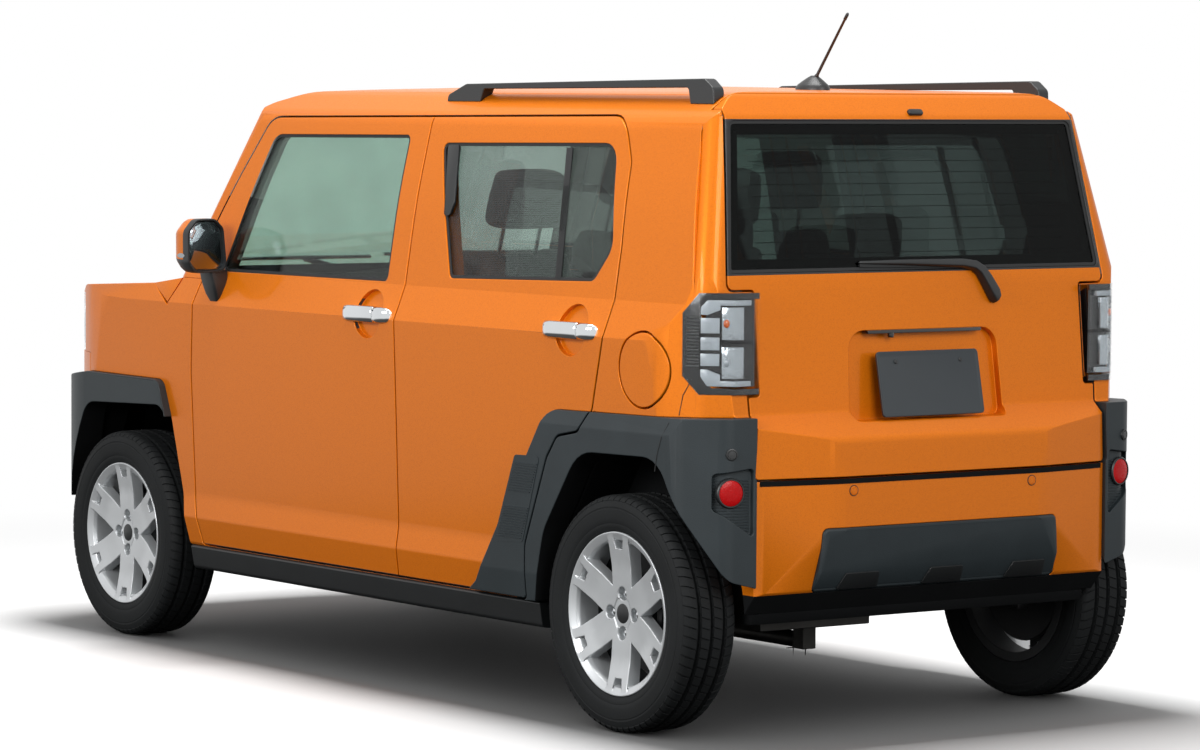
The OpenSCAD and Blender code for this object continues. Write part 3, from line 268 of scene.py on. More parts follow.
@dataclass(frozen=True)
class MetallicPaint(Finish):
    """Base coat with aluminium flakes under a clear coat: a warm colour that sparkles."""

    flake_mm: float = 1.6
    dark: str = "#cb680a"

    def pattern(self, tree: NodeTree, shader: Node) -> None:
        """Adds flakes of two tones, drawn coarser than real ones so that they show.

        Args:
            tree: The tree that the nodes go into.
            shader: The material's principled shader.
        """
        place = self.place(tree)
        cells = add_node(
            tree, "ShaderNodeTexVoronoi", None, {"Scale": 1000.0 / self.flake_mm}, {"Vector": place})
        flake = add_node(tree, "ShaderNodeSeparateColor", None, None, {"Color": cells.outputs["Color"]})
        ramp = add_node(tree, "ShaderNodeValToRGB", None, None, {"Fac": flake.outputs["Red"]})
        ramp.color_ramp.elements[0].color = linear(self.dark)
        ramp.color_ramp.elements[0].position = 0.0
        ramp.color_ramp.elements[1].color = linear(self.colour)
        ramp.color_ramp.elements[1].position = 0.45
        rough = add_node(
            tree, "ShaderNodeMapRange", None,
            {"To Min": self.roughness * 0.85, "To Max": self.roughness * 1.15},
            {"Value": flake.outputs["Green"]})
        tree.links.new(ramp.outputs["Color"], shader.inputs["Base Color"])
        tree.links.new(rough.outputs["Result"], shader.inputs["Roughness"])


@dataclass(frozen=True)
class Woven(Finish):
    """Cloth woven from two threads: crossing ridges a thread apart and a soft sheen."""

    thread_mm: float = 3.0
    light: str = "#6a6c70"

    def pattern(self, tree: NodeTree, shader: Node) -> None:
        """Adds the weave, drawn coarser than real thread so that it shows.

        Args:
            tree: The tree that the nodes go into.
            shader: The material's principled shader.
        """
        place = self.place(tree)
        scale = 1000.0 / self.thread_mm / 6.2832
        waves = [
            add_node(tree, "ShaderNodeTexWave", {"bands_direction": axis},
                     {"Scale": scale, "Distortion": 0.6, "Detail": 1.0}, {"Vector": place}).outputs["Fac"]
            for axis in ("X", "Y", "Z")]
        pair = add_node(tree, "ShaderNodeMath", {"operation": "MULTIPLY"}, None, {0: waves[0], 1: waves[1]})
        weave = add_node(
            tree, "ShaderNodeMath", {"operation": "ADD"}, None, {0: pair.outputs[0], 1: waves[2]})
        ramp = add_node(tree, "ShaderNodeValToRGB", None, None, {"Fac": weave.outputs[0]})
        ramp.color_ramp.elements[0].color = linear(self.colour)
        ramp.color_ramp.elements[1].color = linear(self.light)
        bump = add_node(
            tree, "ShaderNodeBump", None, {"Strength": 0.6, "Distance": 0.0006},
            {"Height": weave.outputs[0]})
        tree.links.new(ramp.outputs["Color"], shader.inputs["Base Color"])
        tree.links.new(bump.outputs["Normal"], shader.inputs["Normal"])


@dataclass(frozen=True)
class PaleFloor(Finish):
    """A matt floor that keeps the car's shadow and fades to plain white away from it."""

    near: float = 2.4
    far: float = 5.0
    bounce: str = "#181818"

    def pattern(self, tree: NodeTree, shader: Node) -> None:
        """Adds the fade, for what the camera, mirrors and glass see.

        Args:
            tree: The tree that the nodes go into.
            shader: The material's principled shader.
        """
        place = self.place(tree)
        reach = add_node(tree, "ShaderNodeVectorMath", {"operation": "LENGTH"}, None, {0: place})
        fade = add_node(
            tree, "ShaderNodeMapRange", {"interpolation_type": "SMOOTHSTEP"},
            {"From Min": self.near, "From Max": self.far}, {"Value": reach.outputs["Value"]})
        seen, mirror = seen_rays(tree)
        share = add_node(
            tree, "ShaderNodeMath", {"operation": "MULTIPLY"}, None, {0: fade.outputs["Result"], 1: mirror})
        white = add_node(tree, "ShaderNodeEmission", None, {"Color": linear("#ffffff"), "Strength": 1.0})
        mix = add_node(
            tree, "ShaderNodeMixShader", None, None,
            {0: share.outputs[0], 1: shader.outputs[0], 2: white.outputs[0]})
        tree.links.new(mix.outputs[0], tree.nodes["Material Output"].inputs["Surface"])
        tone = add_node(
            tree, "ShaderNodeMixRGB", None, {"Color1": linear(self.bounce), "Color2": linear(self.colour)},
            {"Fac": seen})
        tree.links.new(tone.outputs["Color"], shader.inputs["Base Color"])


GLASS_IOR = 1.2
# Metallic two-coat car paint: flakes under clear coat, deep orange that turns bright where light strikes it
PAINT = MetallicPaint(
    "orange_metallic_paint", "#d8720a", 0.4, 0.3,
    (("Coat Weight", 0.22), ("Coat Roughness", 0.04), ("Specular IOR Level", 0.1)))
# Polypropylene moulded in a leather-grain tool: dark blue-grey, dull, with pinhead grain
CLADDING = Grained(
    "grained_polypropylene", "#252c2f", 0.5, 0.0, (("Specular IOR Level", 0.3),), 2.2, 0.22, 0.1, True)
# ABS moulding, satin black
SATIN_BLACK = Grained("satin_black_moulding", "#17191a", 0.42, 0.0, (), 1.2, 0.05, 0.1)
# Piano-black moulding behind lenses and in the grille
GLOSS_BLACK = Grained("gloss_black_moulding", "#0c0d0e", 0.16, 0.0, (("Coat Weight", 0.5),), 30.0, 0.01, 0.1)
# EPDM rubber weatherstrip: matt black
RUBBER = Grained("weatherstrip_rubber", "#121314", 0.72, 0.0, (), 1.5, 0.08, 0.1)
# Tyre rubber, moulded: near black with a dusty tone
TYRE = Grained("tyre_rubber", "#121415", 0.74, 0.0, (("Specular IOR Level", 0.25),), 2.5, 0.12, 0.18)
# Cast aluminium, silver painted and lacquered
ALLOY = Grained(
    "silver_lacquered_alloy", "#c4c7c9", 0.36, 0.45, (("Coat Weight", 0.6), ("Coat Roughness", 0.08)), 0.9,
    0.02, 0.05)
# Chromium plating on ABS
CHROME = Grained("chromium_plating", "#d5d8da", 0.07, 1.0, (), 60.0, 0.004, 0.03)
# Silvered glass of the door mirrors, dimmed against dazzle
MIRROR = Grained("dimmed_mirror_glass", "#7c8388", 0.05, 1.0, (), 90.0, 0.002, 0.03)
# Laminated and toughened float glass with a green body tint
CLEAR_GLASS = Glazed(
    "green_float_glass", "#b2cbbf", 0.0, 0.0,
    (("Transmission Weight", 1.0), ("IOR", GLASS_IOR), ("Alpha", 0.85)))
# Toughened privacy glass, smoke grey through its body
DARK_GLASS = Glazed(
    "smoke_privacy_glass", "#a6adab", 0.0, 0.0,
    (("Transmission Weight", 1.0), ("IOR", GLASS_IOR), ("Alpha", 0.85)))
# Toughened privacy glass of the tailgate, darker than the doors'
GATE_GLASS = Glazed(
    "dark_tailgate_glass", "#33423f", 0.0, 0.0,
    (("Transmission Weight", 1.0), ("IOR", GLASS_IOR), ("Alpha", 0.88)))
# Clear polycarbonate lens
LENS = Glazed(
    "clear_lens_polycarbonate", "#eef2f4", 0.02, 0.0,
    (("Transmission Weight", 1.0), ("IOR", GLASS_IOR), ("Alpha", 0.3)), 60.0)
# Enamel ink fired on the glass edge
FRIT = Grained("black_glass_enamel", "#0a0b0c", 0.35, 0.0, (), 4.0, 0.02, 0.1)
# Frosted light guide in the lamps
GUIDE = Grained("frosted_light_guide", "#8f969b", 0.34, 0.1, (("Coat Weight", 0.6),), 1.4, 0.05, 0.05)
# Faceted reflector film in the lamps
REFLECTOR = Grained("faceted_reflector", "#a1a7ab", 0.14, 0.9, (), 9.0, 0.7, 0.08, True)
# Amber bulb cap
AMBER = Grained("amber_bulb_glass", "#b4501a", 0.2, 0.0, (("Coat Weight", 0.5),), 6.0, 0.05, 0.1)
# Prismatic acrylic reflector, red
RED_PRISM = Grained(
    "red_prismatic_acrylic", "#c00a0e", 0.3, 0.0, (("Specular IOR Level", 0.2),), 4.0, 0.5, 0.2, True)
# Polyester seat cloth
SEAT_CLOTH = Woven(
    "grey_seat_cloth", "#2b2d30", 0.92, 0.0, (("Sheen Weight", 0.35), ("Sheen Roughness", 0.5)))
# Ribbed accent cloth on the seat centres
SEAT_CENTRE = Woven(
    "seat_centre_cloth", "#37393d", 0.9, 0.0, (("Sheen Weight", 0.4), ("Sheen Roughness", 0.5)), 6.0,
    "#55585d")
# Needled polyester headliner
HEADLINER = Grained("needled_headliner", "#8f9292", 0.95, 0.0, (("Sheen Weight", 0.3),), 2.0, 0.2, 0.08)
# Tufted carpet
CARPET = Grained("black_needle_carpet", "#1c1d1f", 0.96, 0.0, (("Sheen Weight", 0.3),), 3.0, 0.9, 0.25)
# Grained dashboard and door cards
TRIM = Grained("dark_cabin_moulding", "#2c2f31", 0.58, 0.0, (), 1.6, 0.12, 0.1, True)
# Leather-grain grip
GRIP = Grained("leather_grain_grip", "#1a1b1d", 0.5, 0.0, (), 2.4, 0.18, 0.1, True)
# Sprayed underseal
UNDERSEAL = Grained(
    "stone_chip_underseal", "#0e0f10", 0.85, 0.0, (("Specular IOR Level", 0.1),), 4.0, 0.5, 0.15)
# Black chassis paint on pressed steel
CHASSIS = Grained("black_chassis_paint", "#18191b", 0.5, 0.0, (), 6.0, 0.05, 0.15)
# Cast aluminium behind the spokes, dulled by brake dust and darkened with painted shade
DUST_AND_SHADE = Grained("dusted_alloy", "#2b2c2d", 0.6, 0.3, (), 3.0, 0.05, 0.2)
# Cast iron and cast aluminium, as cast
CAST = Grained("as_cast_metal", "#5d6061", 0.6, 0.8, (), 1.8, 0.2, 0.15)
# Dull aluminised exhaust steel
EXHAUST = Grained("aluminised_steel", "#3c3b39", 0.5, 0.8, (), 14.0, 0.05, 0.2)
# Anodised dark plate
PLATE = Grained("dark_plate_enamel", "#1a2227", 0.4, 0.0, (("Coat Weight", 0.1),), 40.0, 0.02, 0.06)
# Matt studio floor, pale grey and lit to white by a lamp of its own
FLOOR = PaleFloor("pale_studio_floor", "#b4b4b4", 0.8)


# Meshes

Finishes = Finish | Sequence[Finish]


def make_piece(name: str, bm: BMesh, finishes: Finishes, smooth: float = 35.0) -> Piece:
    """Turns a bmesh into an object at the origin.

    Args:
        name: The piece's plain name.
        bm: The mesh, which is freed.
        finishes: One finish, or one for each material index.
        smooth: Angle in degrees above which an edge stays sharp.

    Returns:
        The new object, linked to the scene.
    """
    mesh = bpy.data.meshes.new(name)
    bm.to_mesh(mesh)
    bm.free()
    for finish in ([finishes] if isinstance(finishes, Finish) else finishes):
        mesh.materials.append(finish.material())
    mesh.shade_smooth()
    mesh.set_sharp_from_angle(angle=math.radians(smooth))
    piece = bpy.data.objects.new(name, mesh)
    bpy.context.scene.collection.objects.link(piece)
    return piece


def settle(piece: Piece) -> None:
    """Applies a piece's modifiers and puts the result in a plain mesh.

    Args:
        piece: The piece, whose mesh is replaced.
    """
    result = piece.evaluated_get(bpy.context.evaluated_depsgraph_get())
    mesh = bpy.data.meshes.new_from_object(result)
    old = piece.data
    piece.modifiers.clear()
    piece.data = mesh
    bpy.data.meshes.remove(old)


def mount(piece: Piece, body: str, nodes: Iterable[str] = ()) -> Piece:
    """Lets a finished piece ride on its body and stand for its CAD nodes.

    Args:
        piece: The finished piece.
        body: Name of the CAD body it moves with.
        nodes: CAD nodes that it stands for.

    Returns:
        The same piece.
    """
    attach(piece, body)
    nodes = tuple(nodes)
    if nodes:
        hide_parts(*nodes)
    LOG.info("%s rides on %s", piece.name, body)
    return piece


def add(name: str, bm: BMesh, finishes: Finishes, body: str, nodes: Iterable[str] = (),
        smooth: float = 35.0) -> Piece:
    """Makes a piece of a mesh and lets it ride on its body.

    Args:
        name: The piece's plain name.
        bm: The mesh, which is freed.
        finishes: One finish, or one for each material index.
        body: Name of the CAD body it moves with.
        nodes: CAD nodes that it stands for.
        smooth: Angle in degrees above which an edge stays sharp.

    Returns:
        The new piece.
    """
    return mount(make_piece(name, bm, finishes, smooth), body, nodes)


def node_mesh(node: str) -> BMesh:
    """Returns a merged copy of a CAD node's mesh, with flat areas joined into single faces.

    Args:
        node: The CAD node.
    """
    bm = bmesh.new()
    bm.from_mesh(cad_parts[node].data)
    bmesh.ops.remove_doubles(bm, verts=bm.verts, dist=2e-5)
    bmesh.ops.dissolve_degenerate(bm, edges=bm.edges, dist=1e-5)
    bmesh.ops.dissolve_limit(
        bm, angle_limit=math.radians(0.03), verts=bm.verts, edges=bm.edges, use_dissolve_boundaries=False)
    bmesh.ops.connect_verts_concave(bm, faces=[f for f in bm.faces if len(f.verts) > 4])
    return bm


ROUNDED = "rounded"
SMOOTH_TURN = 31.0


def round_edges(bm: BMesh, width: float, angle: float = 32.0, segments: int = 2) -> None:
    """Rounds the edges that turn by more than an angle, and marks the new faces.

    Args:
        bm: The mesh to change.
        width: Width of the rounding in metres.
        angle: Least turn in degrees.
        segments: Steps across the rounding.
    """
    mark = bm.faces.layers.int.get(ROUNDED) or bm.faces.layers.int.new(ROUNDED)
    edges = [e for e in bm.edges if e.is_manifold and e.calc_face_angle(0.0) > math.radians(angle)]
    if edges:
        made = bmesh.ops.bevel(
            bm, geom=edges, offset=width, offset_type="OFFSET", segments=segments, profile=0.55,
            affect="EDGES", clamp_overlap=False, loop_slide=False)
        for face in made["faces"]:
            face[mark] = 1


SURFACES: dict[str, BVHTree] = {}


def surface(node: str) -> BVHTree:
    """Returns a CAD node's surface for ray and distance tests, built once.

    Args:
        node: The CAD node.
    """
    if node not in SURFACES:
        bm = bmesh.new()
        bm.from_mesh(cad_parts[node].data)
        SURFACES[node] = BVHTree.FromBMesh(bm)
        bm.free()
    return SURFACES[node]


def keep_flat(bm: BMesh, node: str, slack: float = 2e-5) -> None:
    """Puts corners of unrounded faces that rounding moved off the CAD surface back on it.

    Args:
        bm: The rounded copy of the node.
        node: The CAD node.
        slack: Distance that is left alone.
    """
    mark = bm.faces.layers.int.get(ROUNDED)
    for v in bm.verts:
        if all(f[mark] for f in v.link_faces):
            continue
        spot, _, _, off = surface(node).find_nearest(v.co)
        if off > slack:
            v.co = spot


def panel_normals(bm: BMesh) -> list[Vector]:
    """Works out normals that keep panels flat, curves smooth and rounded edges blended.

    Args:
        bm: A mesh whose rounded edges are marked.

    Returns:
        One normal for each corner, in the order of the faces.
    """
    bm.normal_update()
    mark = bm.faces.layers.int.get(ROUNDED)
    limit = math.cos(math.radians(SMOOTH_TURN))
    wide = math.cos(math.radians(75.0))
    areas = {f: f.calc_area() for f in bm.faces}
    normals = []
    for face in bm.faces:
        soft = bool(mark and face[mark])
        for corner in face.loops:
            round_about = corner.vert.link_faces
            plain = [f for f in round_about if not (mark and f[mark])]
            if soft and plain:
                near = [f for f in plain if f.normal.dot(face.normal) > wide]
            elif soft:
                near = list(round_about)
            else:
                near = [f for f in plain if f.normal.dot(face.normal) > limit]
            total = sum((f.normal * areas[f] for f in near), Vector())
            normals.append(total.normalized() if total.length > 1e-12 else face.normal.copy())
    return normals


def soft_piece(name: str, bm: BMesh, finishes: Finishes) -> Piece:
    """Turns a mesh with marked rounded edges into a piece with panel shading.

    Args:
        name: Name of the new item.
        bm: The mesh, which is freed.
        finishes: One finish, or one for each index.

    Returns:
        The new piece.
    """
    normals = panel_normals(bm)
    piece = make_piece(name, bm, finishes, 180.0)
    piece.data.normals_split_custom_set(normals)
    return piece


def soft_copy(node: str, name: str, finishes: Finishes, width: float,
              choose: Callable[[Vector, Vector], int] | None = None,
              cuts: Sequence[tuple[Point, Point]] = ()) -> Piece:
    """Copies a CAD node with rounded edges.

    Args:
        node: The CAD node.
        name: Name of the new piece.
        finishes: One finish, or one for each index that choose gives.
        width: Width of the edge rounding in metres.
        choose: Gives a face's material index from its middle and normal.
        cuts: Planes, as a point and a normal, where faces part so that finishes can change there.

    Returns:
        The new piece.
    """
    bm = node_mesh(node)
    round_edges(bm, width)
    keep_flat(bm, node)
    for point, way in cuts:
        bmesh.ops.bisect_plane(bm, geom=[*bm.verts, *bm.edges, *bm.faces], plane_co=point, plane_no=way)
    bm.normal_update()
    if choose:
        for face in bm.faces:
            face.material_index = choose(face.calc_center_median(), face.normal)
    return soft_piece(name, bm, finishes)


def loft(rings: Sequence[Sequence[Point]], closed: bool = True, caps: bool = True) -> BMesh:
    """Joins rings of points into a skin.

    Args:
        rings: Rings with the same number of points.
        closed: Whether each ring closes on itself.
        caps: Whether the end rings are filled.

    Returns:
        The skin, with its normals outward.
    """
    bm = bmesh.new()
    rows = [[bm.verts.new(p) for p in ring] for ring in rings]
    count = len(rows[0])
    for low, high in zip(rows, rows[1:]):
        for i in range(count if closed else count - 1):
            j = (i + 1) % count
            bm.faces.new((low[i], low[j], high[j], high[i]))
    if caps:
        bm.faces.new(rows[0][::-1])
        bm.faces.new(rows[-1])
    bmesh.ops.recalc_face_normals(bm, faces=bm.faces)
    return bm


def round_outline(points: Outline, radius: float, steps: int = 4) -> list[Pair]:
    """Rounds the corners of a closed outline.

    Args:
        points: Corners in order.
        radius: Corner radius in metres.
        steps: Steps on each arc.

    Returns:
        The rounded outline's points.
    """
    result: list[Pair] = []
    count = len(points)
    for i, here in enumerate(points):
        b = Vector(here)
        u = (Vector(points[i - 1]) - b)
        v = (Vector(points[(i + 1) % count]) - b)
        reach = min(u.length, v.length) / 2.05
        half = u.angle(v) / 2
        cut = min(radius / math.tan(half), reach)
        start, end = b + u.normalized() * cut, b + v.normalized() * cut
        for k in range(steps + 1):
            t = k / steps
            p = start * (1 - t) ** 2 + b * 2 * t * (1 - t) + end * t ** 2
            result.append((p.x, p.y))
    return result


def rectangle(width: float, height: float) -> list[Pair]:
    """Returns the corners of a centred rectangle."""
    return [
        (-width / 2, -height / 2), (width / 2, -height / 2), (width / 2, height / 2),
        (-width / 2, height / 2)]


def plate_mesh(outline: Outline, depth: float, place: Matrix, edge: float = 0.0) -> BMesh:
    """Thickens a flat outline along its normal and puts it in place.

    Args:
        outline: Points in the plate's own plane.
        depth: Thickness towards its own Z.
        place: Matrix from the plate's frame to the car's.
        edge: Width of a rounding on all its edges.

    Returns:
        The plate.
    """
    bm = loft([[(u, v, 0.0) for u, v in outline], [(u, v, depth) for u, v in outline]])
    if edge:
        round_edges(bm, edge, 50.0)
    bm.transform(place)
    bmesh.ops.recalc_face_normals(bm, faces=bm.faces)
    return bm


def turns(steps: int) -> list[float]:
    """Returns the angles of equal steps round a full turn."""
    return [2 * math.pi * k / steps for k in range(steps)]


def lathe(profile: Outline, centre: Point, steps: int, sign: float = 1.0, closed: bool = True) -> BMesh:
    """Turns a profile about an axis along Y.

    Args:
        profile: Rows of radius and distance along the axis.
        centre: A point on the axis.
        steps: Steps round the turn.
        sign: 1 where distances count towards the car's left.
        closed: Whether the profile's ends are joined.

    Returns:
        The turned skin.
    """
    rings = [
        [(centre[0] + r * math.cos(a), centre[1] + sign * h, centre[2] + r * math.sin(a))
         for r, h in profile] for a in turns(steps)]
    rings.append(rings[0])
    bm = loft(rings, closed, False)
    bmesh.ops.remove_doubles(bm, verts=bm.verts, dist=1e-6)
    bmesh.ops.recalc_face_normals(bm, faces=bm.faces)
    return bm


def turned(profile: Outline, steps: int, place: Matrix) -> BMesh:
    """Turns a profile about the Y axis and puts it in place.

    Args:
        profile: Rows of radius and distance along the axis.
        steps: Steps round the turn.
        place: Matrix from the turned piece's frame to the car's.

    Returns:
        The turned skin.
    """
    bm = lathe(profile, (0, 0, 0), steps)
    bm.transform(place)
    bmesh.ops.recalc_face_normals(bm, faces=bm.faces)
    return bm


def tube(path: Sequence[Point], radius: float, sides: int = 10) -> BMesh:
    """Sweeps a circle along a path.

    Args:
        path: Points in order.
        radius: Radius in metres.
        sides: Sides of the circle.

    Returns:
        The closed tube.
    """
    points = [Vector(p) for p in path]
    rings = []
    across = Vector((0.0, 0.0, 1.0))
    for i, p in enumerate(points):
        along = (points[min(i + 1, len(points) - 1)] - points[max(i - 1, 0)]).normalized()
        if abs(along.dot(across)) > 0.95:
            across = Vector((0.0, 1.0, 0.0))
        side = along.cross(across).normalized()
        up = side.cross(along)
        rings.append([p + radius * (math.cos(a) * side + math.sin(a) * up) for a in turns(sides)])
    return loft(rings)


def box_mesh(low: Point, high: Point, edge: float = 0.0, segments: int = 2) -> BMesh:
    """Returns a box between two corners, with rounded edges.

    Args:
        low: Its lower corner.
        high: Its upper corner.
        edge: Width of the rounding on its edges.
        segments: Steps across the rounding.
    """
    bm = bmesh.new()
    size = Vector(high) - Vector(low)
    bmesh.ops.create_cube(bm, size=1.0)
    bmesh.ops.scale(bm, vec=size, verts=bm.verts)
    bmesh.ops.translate(bm, vec=(Vector(low) + Vector(high)) / 2, verts=bm.verts)
    if edge:
        round_edges(bm, edge, 50.0, segments)
    return bm


def joined(parts: Iterable[BMesh]) -> BMesh:
    """Returns one mesh that holds all the parts, which are freed.

    Args:
        parts: The meshes to join.
    """
    whole = bmesh.new()
    for part in parts:
        mesh = bpy.data.meshes.new("part")
        part.to_mesh(mesh)
        part.free()
        whole.from_mesh(mesh)
        bpy.data.meshes.remove(mesh)
    return whole


def mirrored(bm: BMesh, sign: float) -> BMesh:
    """Returns the mesh as it is for the left, or mirrored for the right.

    Args:
        bm: The left side's mesh, which is changed.
        sign: 1 for the left side and -1 for the right.
    """
    if sign < 0:
        bm.transform(Matrix.Scale(-1, 4, (0, 1, 0)))
        bmesh.ops.reverse_faces(bm, faces=bm.faces)
    return bm


def facing(origin: Point, normal: Point, up: Point = (0, 0, 1)) -> Matrix:
    """Returns a frame at a point with Z along a normal and Y as near up as it can be.

    Args:
        origin: Where the frame lies.
        normal: The way that Z points.
        up: The way that Y should point.
    """
    z = Vector(normal).normalized()
    x = Vector(up).cross(z).normalized()
    y = z.cross(x)
    turn = Matrix((x, y, z)).transposed().to_4x4()
    return Matrix.Translation(Vector(origin)) @ turn


def touch(node: str, start: Point, way: Point, near: Point | None = None) -> tuple[Vector, Vector]:
    """Finds where a ray meets a CAD node.

    Args:
        node: The CAD node.
        start: Where the ray starts.
        way: Its direction.
        near: Where to look for the nearest surface if the ray misses.

    Returns:
        The point and the surface's normal there.
    """
    point, normal, _, _ = surface(node).ray_cast(Vector(start), Vector(way))
    if point is None and near is not None:
        point, normal, _, _ = surface(node).find_nearest(Vector(near))
    return point, normal


# Geometry node trees

class Repeat:
    """A geometry tree that repeats a small shape along a line or round an axis."""

    @staticmethod
    def _tree(name: str, inputs: Sequence[tuple[str, str, Any]]) -> tuple[NodeTree, Node, Node]:
        """Returns a new tree with a geometry input, the named inputs and a geometry output.

        Args:
            name: Name of the new item.
            inputs: Name, socket type and default of each input.
        """
        tree = bpy.data.node_groups.new(name, "GeometryNodeTree")
        tree.interface.new_socket("Geometry", in_out="INPUT", socket_type="NodeSocketGeometry")
        for label, kind, value in inputs:
            tree.interface.new_socket(label, in_out="INPUT", socket_type=kind).default_value = value
        tree.interface.new_socket("Material", in_out="INPUT", socket_type="NodeSocketMaterial")
        tree.interface.new_socket("Geometry", in_out="OUTPUT", socket_type="NodeSocketGeometry")
        return tree, add_node(tree, "NodeGroupInput"), add_node(tree, "NodeGroupOutput")

    @staticmethod
    def _close(tree: NodeTree, source: Node, sink: Node, points: Any, turn: Any) -> None:
        """Puts the shape on the points, realises it and sets its material.

        Args:
            tree: The tree that the nodes go into.
            source: The tree's input node.
            sink: The tree's output node.
            points: Socket of the points.
            turn: Socket of their rotation, or None.
        """
        links = {"Points": points, "Instance": source.outputs["Geometry"]}
        if turn:
            links["Rotation"] = turn
        put = add_node(tree, "GeometryNodeInstanceOnPoints", None, None, links)
        real = add_node(tree, "GeometryNodeRealizeInstances", None, None, {0: put.outputs[0]})
        dress = add_node(
            tree, "GeometryNodeSetMaterial", None, None,
            {"Geometry": real.outputs[0], "Material": source.outputs["Material"]})
        tree.links.new(dress.outputs[0], sink.inputs[0])

    @classmethod
    def row(cls) -> NodeTree:
        """Returns the tree that repeats a shape along a line, built once."""
        made = bpy.data.node_groups.get("repeat_in_row")
        if made:
            return made
        tree, source, sink = cls._tree(
            "repeat_in_row", (("Count", "NodeSocketInt", 3), ("Step", "NodeSocketVector", (0.0, 0.0, 0.1))))
        line = add_node(
            tree, "GeometryNodeMeshLine", {"mode": "OFFSET"}, None,
            {"Count": source.outputs["Count"], "Offset": source.outputs["Step"]})
        cls._close(tree, source, sink, line.outputs[0], None)
        return tree

    @classmethod
    def ring(cls) -> NodeTree:
        """Returns the tree that repeats a shape round the Z axis, built once."""
        made = bpy.data.node_groups.get("repeat_in_ring")
        if made:
            return made
        tree, source, sink = cls._tree("repeat_in_ring", (("Count", "NodeSocketInt", 3),))
        line = add_node(
            tree, "GeometryNodeMeshLine", {"mode": "OFFSET"}, {"Offset": (0.0, 0.0, 0.0)},
            {"Count": source.outputs["Count"]})
        index = add_node(tree, "GeometryNodeInputIndex")
        part = add_node(
            tree, "ShaderNodeMath", {"operation": "DIVIDE"}, None,
            {0: index.outputs[0], 1: source.outputs["Count"]})
        angle = add_node(
            tree, "ShaderNodeMath", {"operation": "MULTIPLY"}, {1: 2 * math.pi}, {0: part.outputs[0]})
        turn = add_node(tree, "ShaderNodeCombineXYZ", None, None, {"Z": angle.outputs[0]})
        cls._close(tree, source, sink, line.outputs[0], turn.outputs[0])
        return tree

    @staticmethod
    def run(name: str, shape: BMesh, tree: NodeTree, finish: Finish, place: Matrix,
            **inputs: Any) -> Piece:
        """Runs a tree on a shape and puts the result in place as a plain mesh.

        Args:
            name: Name of the piece.
            shape: The shape to repeat, about the origin, which is freed.
            tree: The tree, from row or ring.
            finish: Finish of the piece.
            place: Matrix from the tree's frame to the car's.
            **inputs: The tree's named inputs.

        Returns:
            The piece, at the origin with its place in its mesh.
        """
        piece = make_piece(name, shape, finish)
        modifier = piece.modifiers.new("repeat", "NODES")
        modifier.node_group = tree
        for item in tree.interface.items_tree:
            if item.in_out == "INPUT" and item.name in inputs:
                modifier[item.identifier] = inputs[item.name]
            elif item.in_out == "INPUT" and item.name == "Material":
                modifier[item.identifier] = finish.material()
        settle(piece)
        piece.data.transform(place)
        if place.determinant() < 0:
            piece.data.flip_normals()
        return piece


# Sub-assemblies

# Turns a lathe's Y axis to the Z axis of the frame it is put in
UPRIGHT = Matrix.Rotation(math.pi / 2, 4, "X")
CABIN = Vector((-0.35, 0.0, 1.0))


def towards_cabin(middle: Vector, normal: Vector) -> int:
    """Returns 1 for a face that looks into the cabin and 0 for the others."""
    to_cabin = CABIN - middle
    return int(normal.dot(to_cabin.normalized()) > 0.3)


